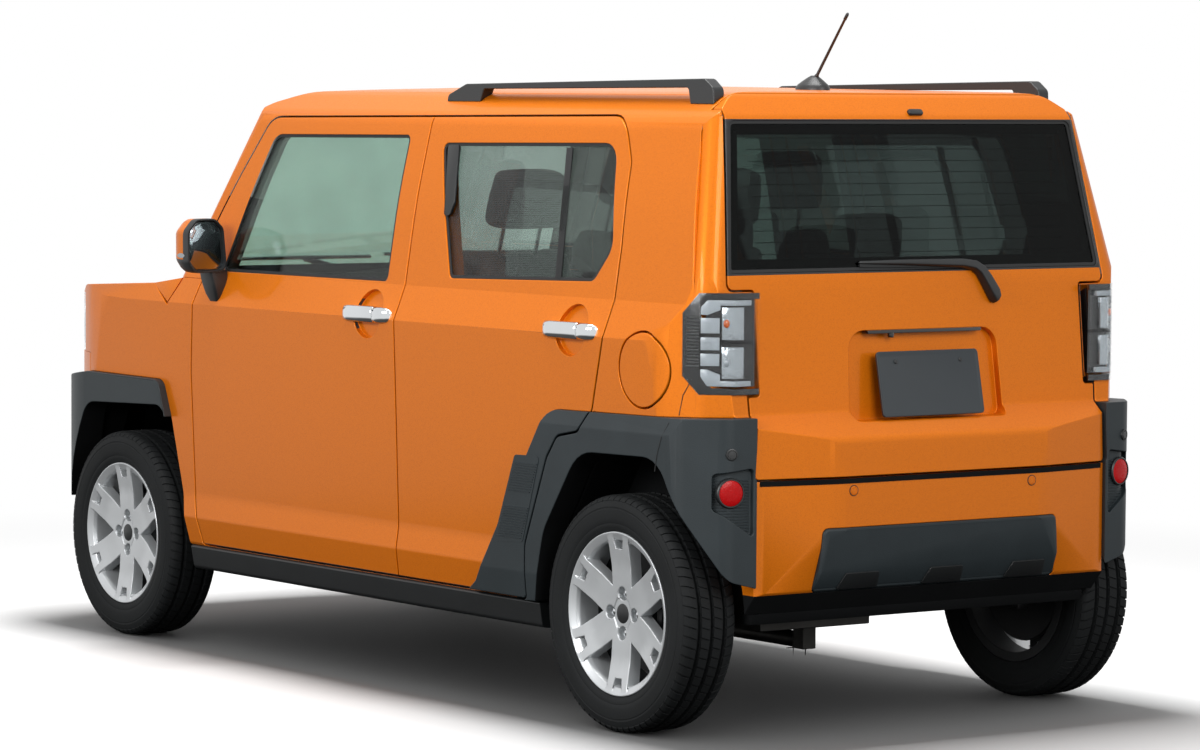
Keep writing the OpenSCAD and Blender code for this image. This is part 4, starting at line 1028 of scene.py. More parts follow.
@dataclass
class PaintedPanels:
    """The painted sheet metal: sides, roof, wings, bumpers, doors, bonnet, tailgate and fuel lid."""

    edge: float = 0.0022
    ceiling_z: float = 1.3
    window_z: Pair = (1.149, 1.531)
    valance_z: float = 0.3665
    axles: Pair = (FRONT_AXLE_X, REAR_AXLE_X)
    well_reach: float = 0.48
    engine_bay: Triple = (1.05, 0.0, 0.62)
    corner: tuple[Triple, ...] = (
        (1.014, 0.7045, 1.0352), (0.905, 0.7232, 0.9855), (0.870, 0.6938, 1.0550), (1.026, 0.655, 1.0345),
        (0.949, 0.655, 0.990), (0.905, 0.655, 1.0555))
    bodies: dict[str, str] = field(
        default_factory=lambda: {"body_side_left": "body", "body_side_right": "body", "roof_panel": "body",
                                 "front_fenders": "body", "front_bumper": "body", "rear_bumper": "body",
                                 "bonnet": "bonnet", "tailgate": "tailgate", "fuel_lid": "fuel_lid",
                                 "front_door_left": "front_door_left",
                                 "front_door_right": "front_door_right", "rear_door_left": "rear_door_left",
                                 "rear_door_right": "rear_door_right"})

    def in_well(self, middle: Vector, normal: Vector) -> bool:
        """Tells whether a face looks at a wheel from its well.

        Args:
            middle: The face's middle.
            normal: The face's normal.

        Returns:
            Whether it does.
        """
        for axle_x in self.axles:
            way = Vector((axle_x - middle.x, 0.0, AXLE_Z - middle.z))
            if way.length < self.well_reach and normal.dot(way.normalized()) > 0.5:
                return True
        return False

    def lining(self, middle: Vector, normal: Vector) -> int:
        """Returns 0 for paint, 1 for cabin moulding, 2 for headliner and 4 for underseal.

        Args:
            middle: The face's middle.
            normal: The face's normal.
        """
        if self.in_well(middle, normal):
            return 4
        if not towards_cabin(middle, normal):
            return 0
        return 2 if middle.z > self.ceiling_z else 1

    def nose(self, middle: Vector, normal: Vector) -> int:
        """Returns 4 for the hidden side of a panel outside the cabin, and 0 for its painted side.

        Args:
            middle: The face's middle.
            normal: The face's normal.
        """
        end = Vector((math.copysign(self.engine_bay[0], middle.x), 0.0, self.engine_bay[2]))
        hidden = normal.dot((end - middle).normalized()) > 0.45
        return 4 if hidden or self.in_well(middle, normal) else 0

    def tail(self, middle: Vector, normal: Vector) -> int:
        """Returns 4 for the rear bumper's dark lower strip, and the nose's index for the rest of it."""
        return 4 if middle.z < self.valance_z else self.nose(middle, normal)

    def gate(self, middle: Vector, normal: Vector) -> int:
        """Returns the lining's index for the tailgate, and 3 for the enamelled frame of its window.

        Args:
            middle: The face's middle.
            normal: The face's normal.
        """
        low, high = self.window_z
        if low < middle.z < high:
            return 3
        return self.lining(middle, normal)

    def dress(self) -> None:
        """Rounds the edges of each panel, paints it and lines its cabin side."""
        for node, body in self.bodies.items():
            outside = node in ("front_fenders", "front_bumper", "rear_bumper", "bonnet", "fuel_lid")
            choose = self.nose if outside else self.lining
            choose = {"tailgate": self.gate, "rear_bumper": self.tail}.get(node, choose)
            levels = {"tailgate": self.window_z, "rear_bumper": (self.valance_z,)}.get(node, ())
            cuts = [((0.0, 0.0, z), (0.0, 0.0, 1.0)) for z in levels]
            finishes = (PAINT, TRIM, HEADLINER, FRIT, UNDERSEAL)
            piece = soft_copy(node, f"{node}_skin", finishes, self.edge, choose, cuts)
            mount(piece, body, [node])
        self.wing_corners()

    def wing_corners(self) -> None:
        """Fills the notch between the bonnet's rear corner and the foot of each windscreen pillar."""
        for side in Side:
            bm = bmesh.new()
            for point in self.corner:
                bm.verts.new(point)
            bmesh.ops.convex_hull(bm, input=bm.verts)
            bmesh.ops.recalc_face_normals(bm, faces=bm.faces)
            round_edges(bm, 0.0012, 20.0)
            add(f"wing_corner_{side.word}", mirrored(bm, side.sign), PAINT, "body")


@dataclass
class Claddings:
    """Dark mouldings along the lower body, black garnishes, rails and other trim copied from CAD."""

    edge: float = 0.003
    arches: tuple[tuple[str, float], ...] = (
        ("front_arch_cladding", FRONT_AXLE_X), ("rear_arch_cladding", REAR_AXLE_X))
    shield: tuple[Pair, Pair] = ((0.885, 0.262), (1.580, 0.765))
    shield_y: float = 0.303
    liner: tuple[Pair, ...] = (
        (-1.16, 1.24), (-0.93, 2.10), (-0.80, 2.335), (0.52, 2.29), (0.70, 2.20), (1.00, 1.68))
    liner_y: Pair = (0.572, 0.690)
    parts: tuple[tuple[str, str, str, Finish], ...] = (
        ("side_skirts", "body", "grained_plastic", SATIN_BLACK),
        ("door_cladding_left", "rear_door_left", "grained_plastic", CLADDING),
        ("door_cladding_right", "rear_door_right", "grained_plastic", CLADDING),
        ("roof_rails", "body", "black_plastic", SATIN_BLACK),
        ("cowl_and_wipers", "body", "black_plastic", SATIN_BLACK),
        ("engine_block", "body", "cast_metal", CAST), ("front_suspension", "body", "chassis_black", CHASSIS),
        ("rear_axle_beam", "body", "chassis_black", CHASSIS), ("exhaust", "body", "exhaust_steel", EXHAUST),
        ("fuel_tank", "body", "chassis_black", CHASSIS),
        ("knuckle_left", "knuckle_left", "cast_metal", CAST),
        ("knuckle_right", "knuckle_right", "cast_metal", CAST))

    def dress(self) -> None:
        """Rounds the edges of each moulding and gives it its finish."""
        for node, body, slot, finish in self.parts:
            mount(soft_copy(node, f"{node}_skin", finish, self.edge), body, [node])
        for node, axle_x in self.arches:
            inside = partial(self.arch_finish, axle_x)
            mount(
                soft_copy(node, f"{node}_skin", (CLADDING, UNDERSEAL), self.edge, inside), "body",
                [node])
        self.front_wells()
        floor = soft_copy("underbody", "underbody_skin", (UNDERSEAL, CARPET), self.edge, self.floor_finish)
        mount(floor, "body", ["underbody"])

    def front_wells(self) -> None:
        """Adds the splash shields beside the engine and the liners under the front wings."""
        for side in Side:
            (x0, z0), (x1, z1) = self.shield
            y = side.sign * self.shield_y
            shield = box_mesh(
                (x0, min(y, y + side.sign * 0.003), z0), (x1, max(y, y + side.sign * 0.003), z1), 0.001)
            add(f"splash_shield_{side.word}", shield, UNDERSEAL, "body")
            outline = [(FRONT_AXLE_X + a * AXLE_Z, b * AXLE_Z) for a, b in self.liner]
            lift = [(x, z + 0.003) for x, z in outline]
            rings = [[(x, y, z) for x, z in [*outline, *reversed(lift)]] for y in self.liner_y]
            liner = make_piece(f"wing_liner_{side.word}", mirrored(loft(rings), side.sign), UNDERSEAL)
            mount(liner, "body")

    def arch_finish(self, axle_x: float, middle: Vector, normal: Vector) -> int:
        """Returns 1 for a face of an arch that looks at its wheel, and 0 for the others."""
        to_wheel = Vector((axle_x - middle.x, 0.0, AXLE_Z - middle.z)).normalized()
        return int(normal.dot(to_wheel) > 0.6)

    @staticmethod
    def floor_finish(middle: Vector, normal: Vector) -> int:
        """Returns 1 for the floor's carpeted cabin side and 0 for its underside."""
        return int(-1.5 < middle.x < 0.95 and towards_cabin(middle, normal))


@dataclass
class Glazing:
    """The panes with their rubber strips, enamel borders and heating lines."""

    strip: float = 0.008
    strip_lift: float = 0.003
    border: float = 0.034
    lines: int = 11
    line_gap: float = 0.029
    panes: tuple[tuple[str, str, str, Finish], ...] = (
        ("windscreen", "body", "clear_glass", CLEAR_GLASS),
        ("tailgate_glass", "tailgate", "privacy_glass", GATE_GLASS),
        ("front_glass_left", "front_door_left", "clear_glass", CLEAR_GLASS),
        ("front_glass_right", "front_door_right", "clear_glass", CLEAR_GLASS),
        ("rear_glass_left", "rear_door_left", "privacy_glass", DARK_GLASS),
        ("rear_glass_right", "rear_door_right", "privacy_glass", DARK_GLASS))

    def rim(self, node: str, width: float, low: float, high: float) -> BMesh:
        """Builds a band round the edge of a pane.

        Args:
            node: The pane's CAD node.
            width: Width of the band.
            low: Where the band starts, from the pane's outer face.
            high: Where it ends, outward.

        Returns:
            The band as a closed mesh.
        """
        bm = node_mesh(node)
        bm.normal_update()
        middle = sum((v.co for v in bm.verts), Vector()) / len(bm.verts)
        out = (middle - CABIN).normalized()
        inner = [f for f in bm.faces if f.normal.dot(out) < 0.55]
        bmesh.ops.delete(bm, geom=inner, context="FACES")
        bmesh.ops.dissolve_faces(bm, faces=bm.faces)
        result = bmesh.ops.inset_region(
            bm, faces=list(bm.faces), thickness=width, use_even_offset=True, use_boundary=True)
        keep = set(result["faces"])
        bmesh.ops.delete(bm, geom=[f for f in bm.faces if f not in keep], context="FACES")
        bm.normal_update()
        normal = sum((f.normal * f.calc_area() for f in bm.faces), Vector()).normalized()
        for v in bm.verts:
            v.co += normal * low
        grown = bmesh.ops.extrude_face_region(bm, geom=list(bm.faces))
        for item in grown["geom"]:
            if isinstance(item, bmesh.types.BMVert):
                item.co += normal * (high - low)
        bmesh.ops.recalc_face_normals(bm, faces=bm.faces)
        return bm

    def dress(self) -> None:
        """Dresses each pane, then adds strips, borders and heating lines."""
        for node, body, slot, finish in self.panes:
            bm = node_mesh(node)
            add(f"{node}_pane", bm, finish, body, [node], smooth=20.0)
            strip = make_piece(f"{node}_strip", self.rim(node, self.strip, -0.001, self.strip_lift), RUBBER)
            mount(strip, body)
        for node, body in (("windscreen", "body"), ("tailgate_glass", "tailgate")):
            border = self.rim(node, self.border, -0.0072, -0.0058)
            add(f"{node}_enamel", border, FRIT, body)
        self.heating()

    def heating(self) -> None:
        """Adds the heating lines on the inside of the tailgate glass."""
        foot, normal = touch("tailgate_glass", (-3.0, 0.0, 1.2), (1, 0, 0))
        line = box_mesh((-0.5, -0.0007, -0.0002), (0.5, 0.0007, 0.0002))
        place = facing(foot - normal * 0.0066, normal)
        piece = Repeat.run(
            "heating_lines", line, Repeat.row(), EXHAUST, place, Count=self.lines,
            Step=(0.0, self.line_gap, 0.0))
        mount(piece, "tailgate")


@dataclass
class RoadWheel:
    """One alloy wheel with nuts and cap, and its tyre with tread."""

    axle: Axle
    side: Side
    axle_x: float
    track_y: float = TRACK_Y
    tyre_r: float = AXLE_Z
    tyre_w: float = 0.165
    pitch: float = 0.05
    edge: float = 0.0025
    steps: int = 112
    shoulder_blocks: int = 74
    groove: float = 0.0075
    sipe: float = 0.003
    block: float = 0.0110
    cap: tuple[Pair, ...] = (
        (0.0001, 0.0035), (0.018, 0.003), (0.0245, 0.001), (0.0265, -0.003), (0.0265, -0.01),
        (0.0001, -0.01))
    wall: tuple[Pair, ...] = (
        (0.690, 0.40), (0.697, 0.447), (0.712, 0.458), (0.728, 0.472), (0.752, 0.481), (0.760, 0.4795),
        (0.768, 0.4865), (0.80, 0.495), (0.845, 0.4985), (0.880, 0.496), (0.884, 0.4905), (0.896, 0.4895),
        (0.900, 0.493), (0.928, 0.482), (0.946, 0.470), (0.964, 0.452), (0.978, 0.428), (0.988, 0.392))
    shoulder_spots: tuple[Pair, ...] = (
        (0.9520, 0.4685), (0.9735, 0.4425), (0.9880, 0.402), (0.9945, 0.345), (0.9955, 0.275))
    rib_spots: tuple[Pair, ...] = ((0.9985, 0.19), (1.0, 0.11), (1.0, 0.037))
    disc: tuple[Pair, ...] = (
        (0.06, 0.024), (0.072, 0.024), (0.074, 0.004), (0.118, 0.004), (0.118, -0.010), (0.06, -0.010))
    drum: tuple[Pair, ...] = (
        (0.03, 0.012), (0.085, 0.010), (0.094, 0.002), (0.096, -0.022), (0.104, -0.024), (0.104, -0.032),
        (0.03, -0.032))

    @property
    def tag(self) -> str:
        """The wheel's ending in node and body names."""
        return f"{self.axle.value}_{self.side.word}"

    @property
    def centre(self) -> Triple:
        """The wheel's middle."""
        return self.axle_x, self.side.sign * self.track_y, self.tyre_r

    def face(self, out: float) -> Matrix:
        """Returns a frame on the wheel's axis, a distance outward of its middle, with Z outward."""
        x, y, z = self.centre
        return facing((x, y + self.side.sign * out, z), (0, self.side.sign, 0))

    def dress(self) -> None:
        """Builds the wheel's pieces."""
        body = f"wheel_{self.tag}"
        self.rim(body)
        self.tyre(body)
        self.brake(body)

    def rim(self, body: str) -> None:
        """Dresses the rim, the nuts and the bare cap.

        Args:
            body: The wheel's body.
        """
        cut = ((0.0, self.side.sign * self.track_y, 0.0), (0.0, 1.0, 0.0))
        # Faces behind the spokes get a dark finish that is partly brake dust and partly painted shade
        piece = soft_copy(
            f"wheel_{self.tag}", f"rim_{self.tag}", (ALLOY, DUST_AND_SHADE), self.edge, self.dusted, [cut])
        mount(piece, body, [f"wheel_{self.tag}"])
        top, _ = touch(
            f"wheel_{self.tag}", self.face(0.3) @ Vector((self.pitch, 0.001, 0)), (0, -self.side.sign, 0))
        out = abs(top.y) - self.track_y
        nut = bmesh.new()
        bmesh.ops.create_cone(nut, cap_ends=True, segments=6, radius1=0.0098, radius2=0.0092, depth=0.02)
        bmesh.ops.translate(nut, vec=(self.pitch, 0, 0.006), verts=nut.verts)
        round_edges(nut, 0.0015, 25.0)
        nuts = Repeat.run(f"nuts_{self.tag}", nut, Repeat.ring(), CHROME, self.face(out), Count=4)
        mount(nuts, body)
        hub, _ = touch(
            f"wheel_{self.tag}", self.face(0.3) @ Vector((0.002, 0.001, 0)), (0, -self.side.sign, 0))
        deep = abs(hub.y) - self.track_y
        cap = lathe([(r, deep + h) for r, h in self.cap], self.centre, 40, self.side.sign)
        add(f"cap_{self.tag}", cap, SATIN_BLACK, body)

    def dusted(self, middle: Vector, normal: Vector) -> int:
        """Returns 1 for the faces behind the spokes, which take the dark finish of brake dust and painted
        shade, and 0 for those that the eye meets first.
        """
        return int(middle.y * self.side.sign < self.track_y or normal.y * self.side.sign < -0.3)

    def profile(self) -> list[Pair]:
        """Returns the tyre's section: bead, sidewall ridges, shoulder and tread with three grooves."""
        r, w = self.tyre_r, self.tyre_w
        half = [(a * r - self.sipe * (a > 0.95), b * w) for a, b in self.wall]
        g = self.groove
        crown = [
            (r * 0.9935, 0.34 * w), (r * 0.995, 0.262 * w), (r * 0.995 - g, 0.256 * w),
            (r * 0.995 - g, 0.205 * w), (r * 0.998, 0.199 * w), (r * 0.9995, 0.03 * w),
            (r * 0.9995 - g, 0.024 * w)]
        half += [(a - self.sipe, b) for a, b in crown]
        return half + [(a, -b) for a, b in reversed(half)]

    def tyre(self, body: str) -> None:
        """Turns the tyre and sets its shoulder and crown blocks.

        Args:
            body: The wheel's body.
        """
        rows = self.profile()
        carcass = make_piece(
            f"tyre_{self.tag}_carcass", lathe(rows, self.centre, self.steps, self.side.sign), TYRE, 30.0)
        mount(carcass, body, [f"tyre_{self.tag}"])
        r, w, h = self.tyre_r, self.tyre_w, self.block
        parts = []
        for sign in (1, -1):
            rings = []
            for share, across in self.shoulder_spots:
                lean = (across - 0.275) * 0.055
                rings.append(
                    [(share * r - 0.006, -h + lean, sign * across * w * 0.985),
                     (share * r - 0.006, h + lean, sign * across * w * 0.985),
                     (share * r + 0.0012, h - 0.001 + lean, sign * across * w),
                     (share * r + 0.0012, -h + 0.001 + lean, sign * across * w)])
            parts.append(loft(rings))
            rings = []
            for share, across in self.rib_spots:
                lean = sign * (across - 0.1) * 0.05
                rings.append(
                    [(share * r - 0.006, -h + lean, sign * across * w),
                     (share * r - 0.006, h + lean, sign * across * w),
                     (share * r + 0.0004, h - 0.0004 + lean, sign * across * w),
                     (share * r + 0.0004, -h + 0.0004 + lean, sign * across * w)])
            parts.append(loft(rings))
        tread = Repeat.run(
            f"tread_{self.tag}", joined(parts), Repeat.ring(), TYRE, self.face(0.0),
            Count=self.shoulder_blocks)
        mount(tread, body)

    def brake(self, body: str) -> None:
        """Adds the brake disc in front or the drum behind.

        Args:
            body: The wheel's body.
        """
        rows, finish = (self.disc, CAST) if self.axle is Axle.FRONT else (self.drum, CHASSIS)
        turned_part = lathe(rows, self.centre, 56, self.side.sign)
        add(f"brake_{self.tag}", turned_part, finish, body)


@dataclass
class Studio:
    """The pale floor, the soft lights and the camera of the photo."""

    eye: Triple = (-10.4958, 7.4147, 1.6042)
    yaw: float = -35.553
    pitch: float = -3.759
    roll: float = 0.372
    lens: float = 137.84
    shift: Pair = (20 / 1200, 15 / 1200)
    reach: float = 60.0
    sky: float = 0.44
    lamps: tuple[tuple[str, Point, Point, float, Pair], ...] = (
        ("overhead_box", (-0.6, 0.6, 4.6), (-0.2, 0.0, 0.5), 150.0, (2.6, 1.5)),
        ("rear_box", (-6.0, 1.0, 2.8), (-1.0, 0.0, 0.9), 140.0, (2.6, 2.2)),
        ("left_box", (-1.6, 6.3, 2.7), (-0.3, 0.0, 1.1), 262.0, (4.2, 1.8)))
    floor_lamp: tuple[str, Point, Point, float, Pair] = (
        "floor_box", (0.5, -0.2, 6.0), (0.5, -0.2, 0.0), 950.0, (2.4, 1.6))

    def dress(self) -> None:
        """Sets floor, sky, lights and camera."""
        scene = bpy.context.scene
        scene.view_settings.view_transform = "Standard"
        bm = bmesh.new()
        bmesh.ops.create_grid(bm, x_segments=1, y_segments=1, size=self.reach)
        floor = make_piece("studio_floor", bm, FLOOR)
        self.light_world(scene)
        for row in self.lamps:
            self.lamp(scene, floor, row, "EXCLUDE")
        self.lamp(scene, floor, self.floor_lamp, "INCLUDE")
        self.camera(scene)

    @staticmethod
    def lamp(scene: bpy.types.Scene, floor: Piece,
             row: tuple[str, Point, Point, float, Pair], state: str) -> None:
        """Hangs one soft box, which lights either the car alone or the floor alone.

        Args:
            scene: The scene.
            floor: The studio floor.
            row: The box's name, place, aim, power in watts and size.
            state: EXCLUDE keeps its light off the floor, and INCLUDE keeps it on the floor.
        """
        name, spot, aim, power, size = row
        lamp = bpy.data.lights.new(name, "AREA")
        lamp.shape = "RECTANGLE"
        lamp.size = size[0]
        lamp.size_y = size[1]
        lamp.energy = power
        holder = bpy.data.objects.new(name, lamp)
        turn = (Vector(aim) - Vector(spot)).to_track_quat("-Z", "Y")
        holder.matrix_world = Matrix.Translation(spot) @ turn.to_matrix().to_4x4()
        scene.collection.objects.link(holder)
        lit = bpy.data.collections.new(f"{name}_receivers")
        lit.objects.link(floor)
        lit.collection_objects[0].light_linking.link_state = state
        holder.light_linking.receiver_collection = lit

    def light_world(self, scene: bpy.types.Scene) -> None:
        """Gives an even sky that the camera sees as white.

        Args:
            scene: The scene.
        """
        world = bpy.data.worlds.new("white_sky")
        scene.world = world
        world.use_nodes = True
        tree = world.node_tree
        tree.nodes.clear()
        _, mirror = seen_rays(tree)
        strength = add_node(
            tree, "ShaderNodeMapRange", None, {"To Min": self.sky, "To Max": 1.0}, {"Value": mirror})
        sky = add_node(
            tree, "ShaderNodeBackground", None, {"Color": linear("#ffffff")},
            {"Strength": strength.outputs["Result"]})
        add_node(tree, "ShaderNodeOutputWorld", None, None, {"Surface": sky.outputs[0]})

    def camera(self, scene: bpy.types.Scene) -> None:
        """Puts the camera where the photo was taken from.

        Args:
            scene: The scene.
        """
        yaw, pitch, roll = (math.radians(a) for a in (self.yaw, self.pitch, self.roll))
        ahead = Vector((math.cos(pitch) * math.cos(yaw), math.cos(pitch) * math.sin(yaw), math.sin(pitch)))
        right = ahead.cross(Vector((0, 0, 1))).normalized()
        up = right.cross(ahead)
        right, up = right * math.cos(roll) + up * math.sin(roll), up * math.cos(roll) - right * math.sin(roll)
        lens = bpy.data.cameras.new("photo_camera")
        lens.sensor_width = 36.0
        lens.lens = self.lens
        lens.shift_x = self.shift[0]
        lens.shift_y = self.shift[1]
        lens.clip_end = 200.0
        holder = bpy.data.objects.new("photo_camera", lens)
        holder.matrix_world = Matrix.Translation(self.eye) @ Matrix((right, up, -ahead)).transposed().to_4x4()
        scene.collection.objects.link(holder)
        scene.camera = holder


def shrunk(node: str, depth: float, keep: Callable[[Vector], bool]) -> BMesh:
    """Copies part of a CAD node, moved inward all round.

    Args:
        node: The CAD node.
        depth: How far the copy lies under the node's surface.
        keep: Chooses a point's side of the car.

    Returns:
        The smaller copy.
    """
    bm = node_mesh(node)
    bmesh.ops.delete(bm, geom=[v for v in bm.verts if not keep(v.co)], context="VERTS")
    bm.normal_update()
    moves = {v: v.normal * depth * min(v.calc_shell_factor(), 2.0) for v in bm.verts}
    for v, move in moves.items():
        v.co -= move
    return bm


@dataclass
class RearLamp:
    """One tail lamp: clear lens, black housing, light guides like a squared hook, two bulb chambers."""

    side: Side
    plan: tuple[Pair, ...] = (
        (-1.520, 0.6955), (-1.5475, 0.6822), (-1.5605, 0.6745), (-1.5775, 0.6605), (-1.6278, 0.6115),
        (-1.629, 0.536))
    cover: tuple[Triple, ...] = ((0.0, 0.20, 0.82), (0.046, 0.0, 1.0), (0.212, 0.0, 1.0))
    frame_rows: tuple[tuple[Triple, ...], ...] = (
        ((0.0, 0.20, 0.82), (0.046, 0.0, 1.0), (0.050, 0.0, 1.0)),
        ((0.0495, 0.0, 0.20), (0.078, 0.0, 0.07), (0.137, 0.0, 0.06), (0.212, 0.0, 0.06)),
        ((0.0495, 0.80, 1.0), (0.078, 0.93, 1.0), (0.137, 0.94, 1.0), (0.212, 0.94, 1.0)))
    housing_depth: float = 0.010
    lens_depth: float = 0.0022
    top: float = 1.108
    height: float = 0.249
    frame_depth: float = 0.0034
    blocks: tuple[Pair, ...] = ((0.245, 0.395), (0.435, 0.56), (0.595, 0.715))
    hook_top: tuple[Triple, ...] = ((0.050, 0.145, 0.215), (0.067, 0.07, 0.215), (0.100, 0.07, 0.165))
    hook_foot: tuple[Triple, ...] = ((0.050, 0.75, 0.82), (0.067, 0.75, 0.915), (0.100, 0.80, 0.915))
    chambers: tuple[Pair, ...] = ((0.14, 0.46), (0.53, 0.84))

    def offset(self, depth: float) -> list[Vector]:
        """Returns the plan moved inward by a depth, with mitred corners.

        Args:
            depth: The depth.
        """
        pts = [Vector(p) for p in self.plan]
        ways = [(b - a).normalized() for a, b in zip(pts, pts[1:])]
        inward = [Vector((w.y, -w.x)) * -1 for w in ways]
        moved = []
        for i, p in enumerate(pts):
            a, b = inward[max(i - 1, 0)], inward[min(i, len(inward) - 1)]
            mitre = (a + b).normalized()
            moved.append(p + mitre * depth / max(mitre.dot(a), 0.5))
        return moved

    def at(self, s: float, depth: float) -> Vector:
        """Returns the plan's point at a length along it, under the surface by a depth.

        Args:
            s: Length along the plan.
            depth: The depth.
        """
        pts = [Vector(p) for p in self.plan]
        line = self.offset(depth)
        for i in range(len(pts) - 1):
            span = (pts[i + 1] - pts[i]).length
            if s <= span or i == len(pts) - 2:
                return line[i].lerp(line[i + 1], min(s / span, 1.0))
            s -= span
        return line[-1]

    def height_at(self, v: float) -> float:
        """Returns the height at a share of the lamp, counted down from its top."""
        return self.top - v * self.height

    def wrap(self, spots: Sequence[Triple], low: float, high: float) -> BMesh:
        """Bends a band round the lamp.

        Args:
            spots: Rows of length along the plan, upper share and lower share.
            low: Depth of the band's back.
            high: Depth of its face.

        Returns:
            The band, mirrored for the right side.
        """
        rings = []
        for s, v0, v1 in self.bent(spots):
            face, back = self.at(s, high), self.at(s, low)
            z0, z1 = self.height_at(v0), self.height_at(v1)
            rings.append(
                [(face.x, face.y, z0), (face.x, face.y, z1), (back.x, back.y, z1), (back.x, back.y, z0)])
        bm = loft(rings)
        round_edges(bm, 0.0008, 50.0)
        return mirrored(bm, self.side.sign)

    def bent(self, spots: Sequence[Triple]) -> list[Vector]:
        """Returns the rows of a band with a row added at each corner of the plan.

        Args:
            spots: Rows of length along the plan, upper share and lower share.
        """
        rows = [Vector(spots[0])]
        for start, end in zip(spots, spots[1:]):
            total = 0.0
            for a, b in zip(self.plan, self.plan[1:]):
                total += (Vector(b) - Vector(a)).length
                if start[0] < total < end[0]:
                    rows.append(Vector(start).lerp(Vector(end), (total - start[0]) / (end[0] - start[0])))
            rows.append(Vector(end))
        return rows

    def dress(self) -> None:
        """Builds lens, housing, guides, chambers, bulbs and ribs."""
        word, sign = self.side.word, self.side.sign
        nodes = ["rear_lamps"] if self.side is Side.LEFT else []
        lens = make_piece(f"rear_lamp_lens_{word}", self.wrap(self.cover, 0.0014, 0.0), LENS, 40.0)
        mount(lens, "body", nodes)
        bands = [self.wrap(rows, self.housing_depth + 0.003, self.frame_depth) for rows in self.frame_rows]
        add(f"rear_lamp_frame_{word}", joined(bands), GLOSS_BLACK, "body")
        housing = shrunk("rear_lamps", self.housing_depth, lambda p: p.y * sign > 0)
        add(f"rear_lamp_housing_{word}", housing, GLOSS_BLACK, "body", smooth=30.0)
        low, high = self.housing_depth + 0.001, self.lens_depth
        blocks = [self.wrap(((0.050, v0, v1), (0.098, v0, v1)), low, high) for v0, v1 in self.blocks]
        blocks.append(self.wrap(self.hook_top, low, high))
        blocks.append(self.wrap(((0.098, 0.07, 0.122), (0.186, 0.07, 0.122)), low, high))
        blocks.append(self.wrap(self.hook_foot, low, high))
        blocks.append(self.wrap(((0.098, 0.862, 0.915), (0.186, 0.862, 0.915)), low, high))
        add(f"rear_lamp_guides_{word}", joined(blocks), GUIDE, "body")
        bowls = [
            self.wrap(((0.104, v0, v1), (0.166, v0, v1)), low, self.housing_depth - 0.0025)
            for v0, v1 in self.chambers]
        add(f"rear_lamp_reflectors_{word}", joined(bowls), REFLECTOR, "body")
        edge = [self.wrap(((0.050, v, v + 0.008), (0.200, v, v + 0.008)), low, high) for v in (0.478, 0.494)]
        add(f"rear_lamp_bars_{word}", joined(edge), GLOSS_BLACK, "body")
        for name, v, finish in (("amber", 0.30, AMBER), ("clear", 0.68, GUIDE)):
            spot = self.at(0.118, self.housing_depth)
            bulb = bmesh.new()
            bmesh.ops.create_uvsphere(bulb, u_segments=20, v_segments=12, radius=0.011)
            bmesh.ops.scale(bulb, vec=(0.6, 1.0, 1.0), verts=bulb.verts)
            bmesh.ops.translate(bulb, vec=(spot.x, spot.y, self.height_at(v)), verts=bulb.verts)
            add(f"rear_lamp_bulb_{name}_{word}", mirrored(bulb, sign), finish, "body")
        rib = self.wrap(((0.012, 0.24, 0.255), (0.046, 0.24, 0.255)), low, high)
        ribs = Repeat.run(
            f"rear_lamp_ribs_{word}", rib, Repeat.row(), SATIN_BLACK, Matrix.Identity(4), Count=16,
            Step=(0.0, 0.0, -0.0078))
        mount(ribs, "body")


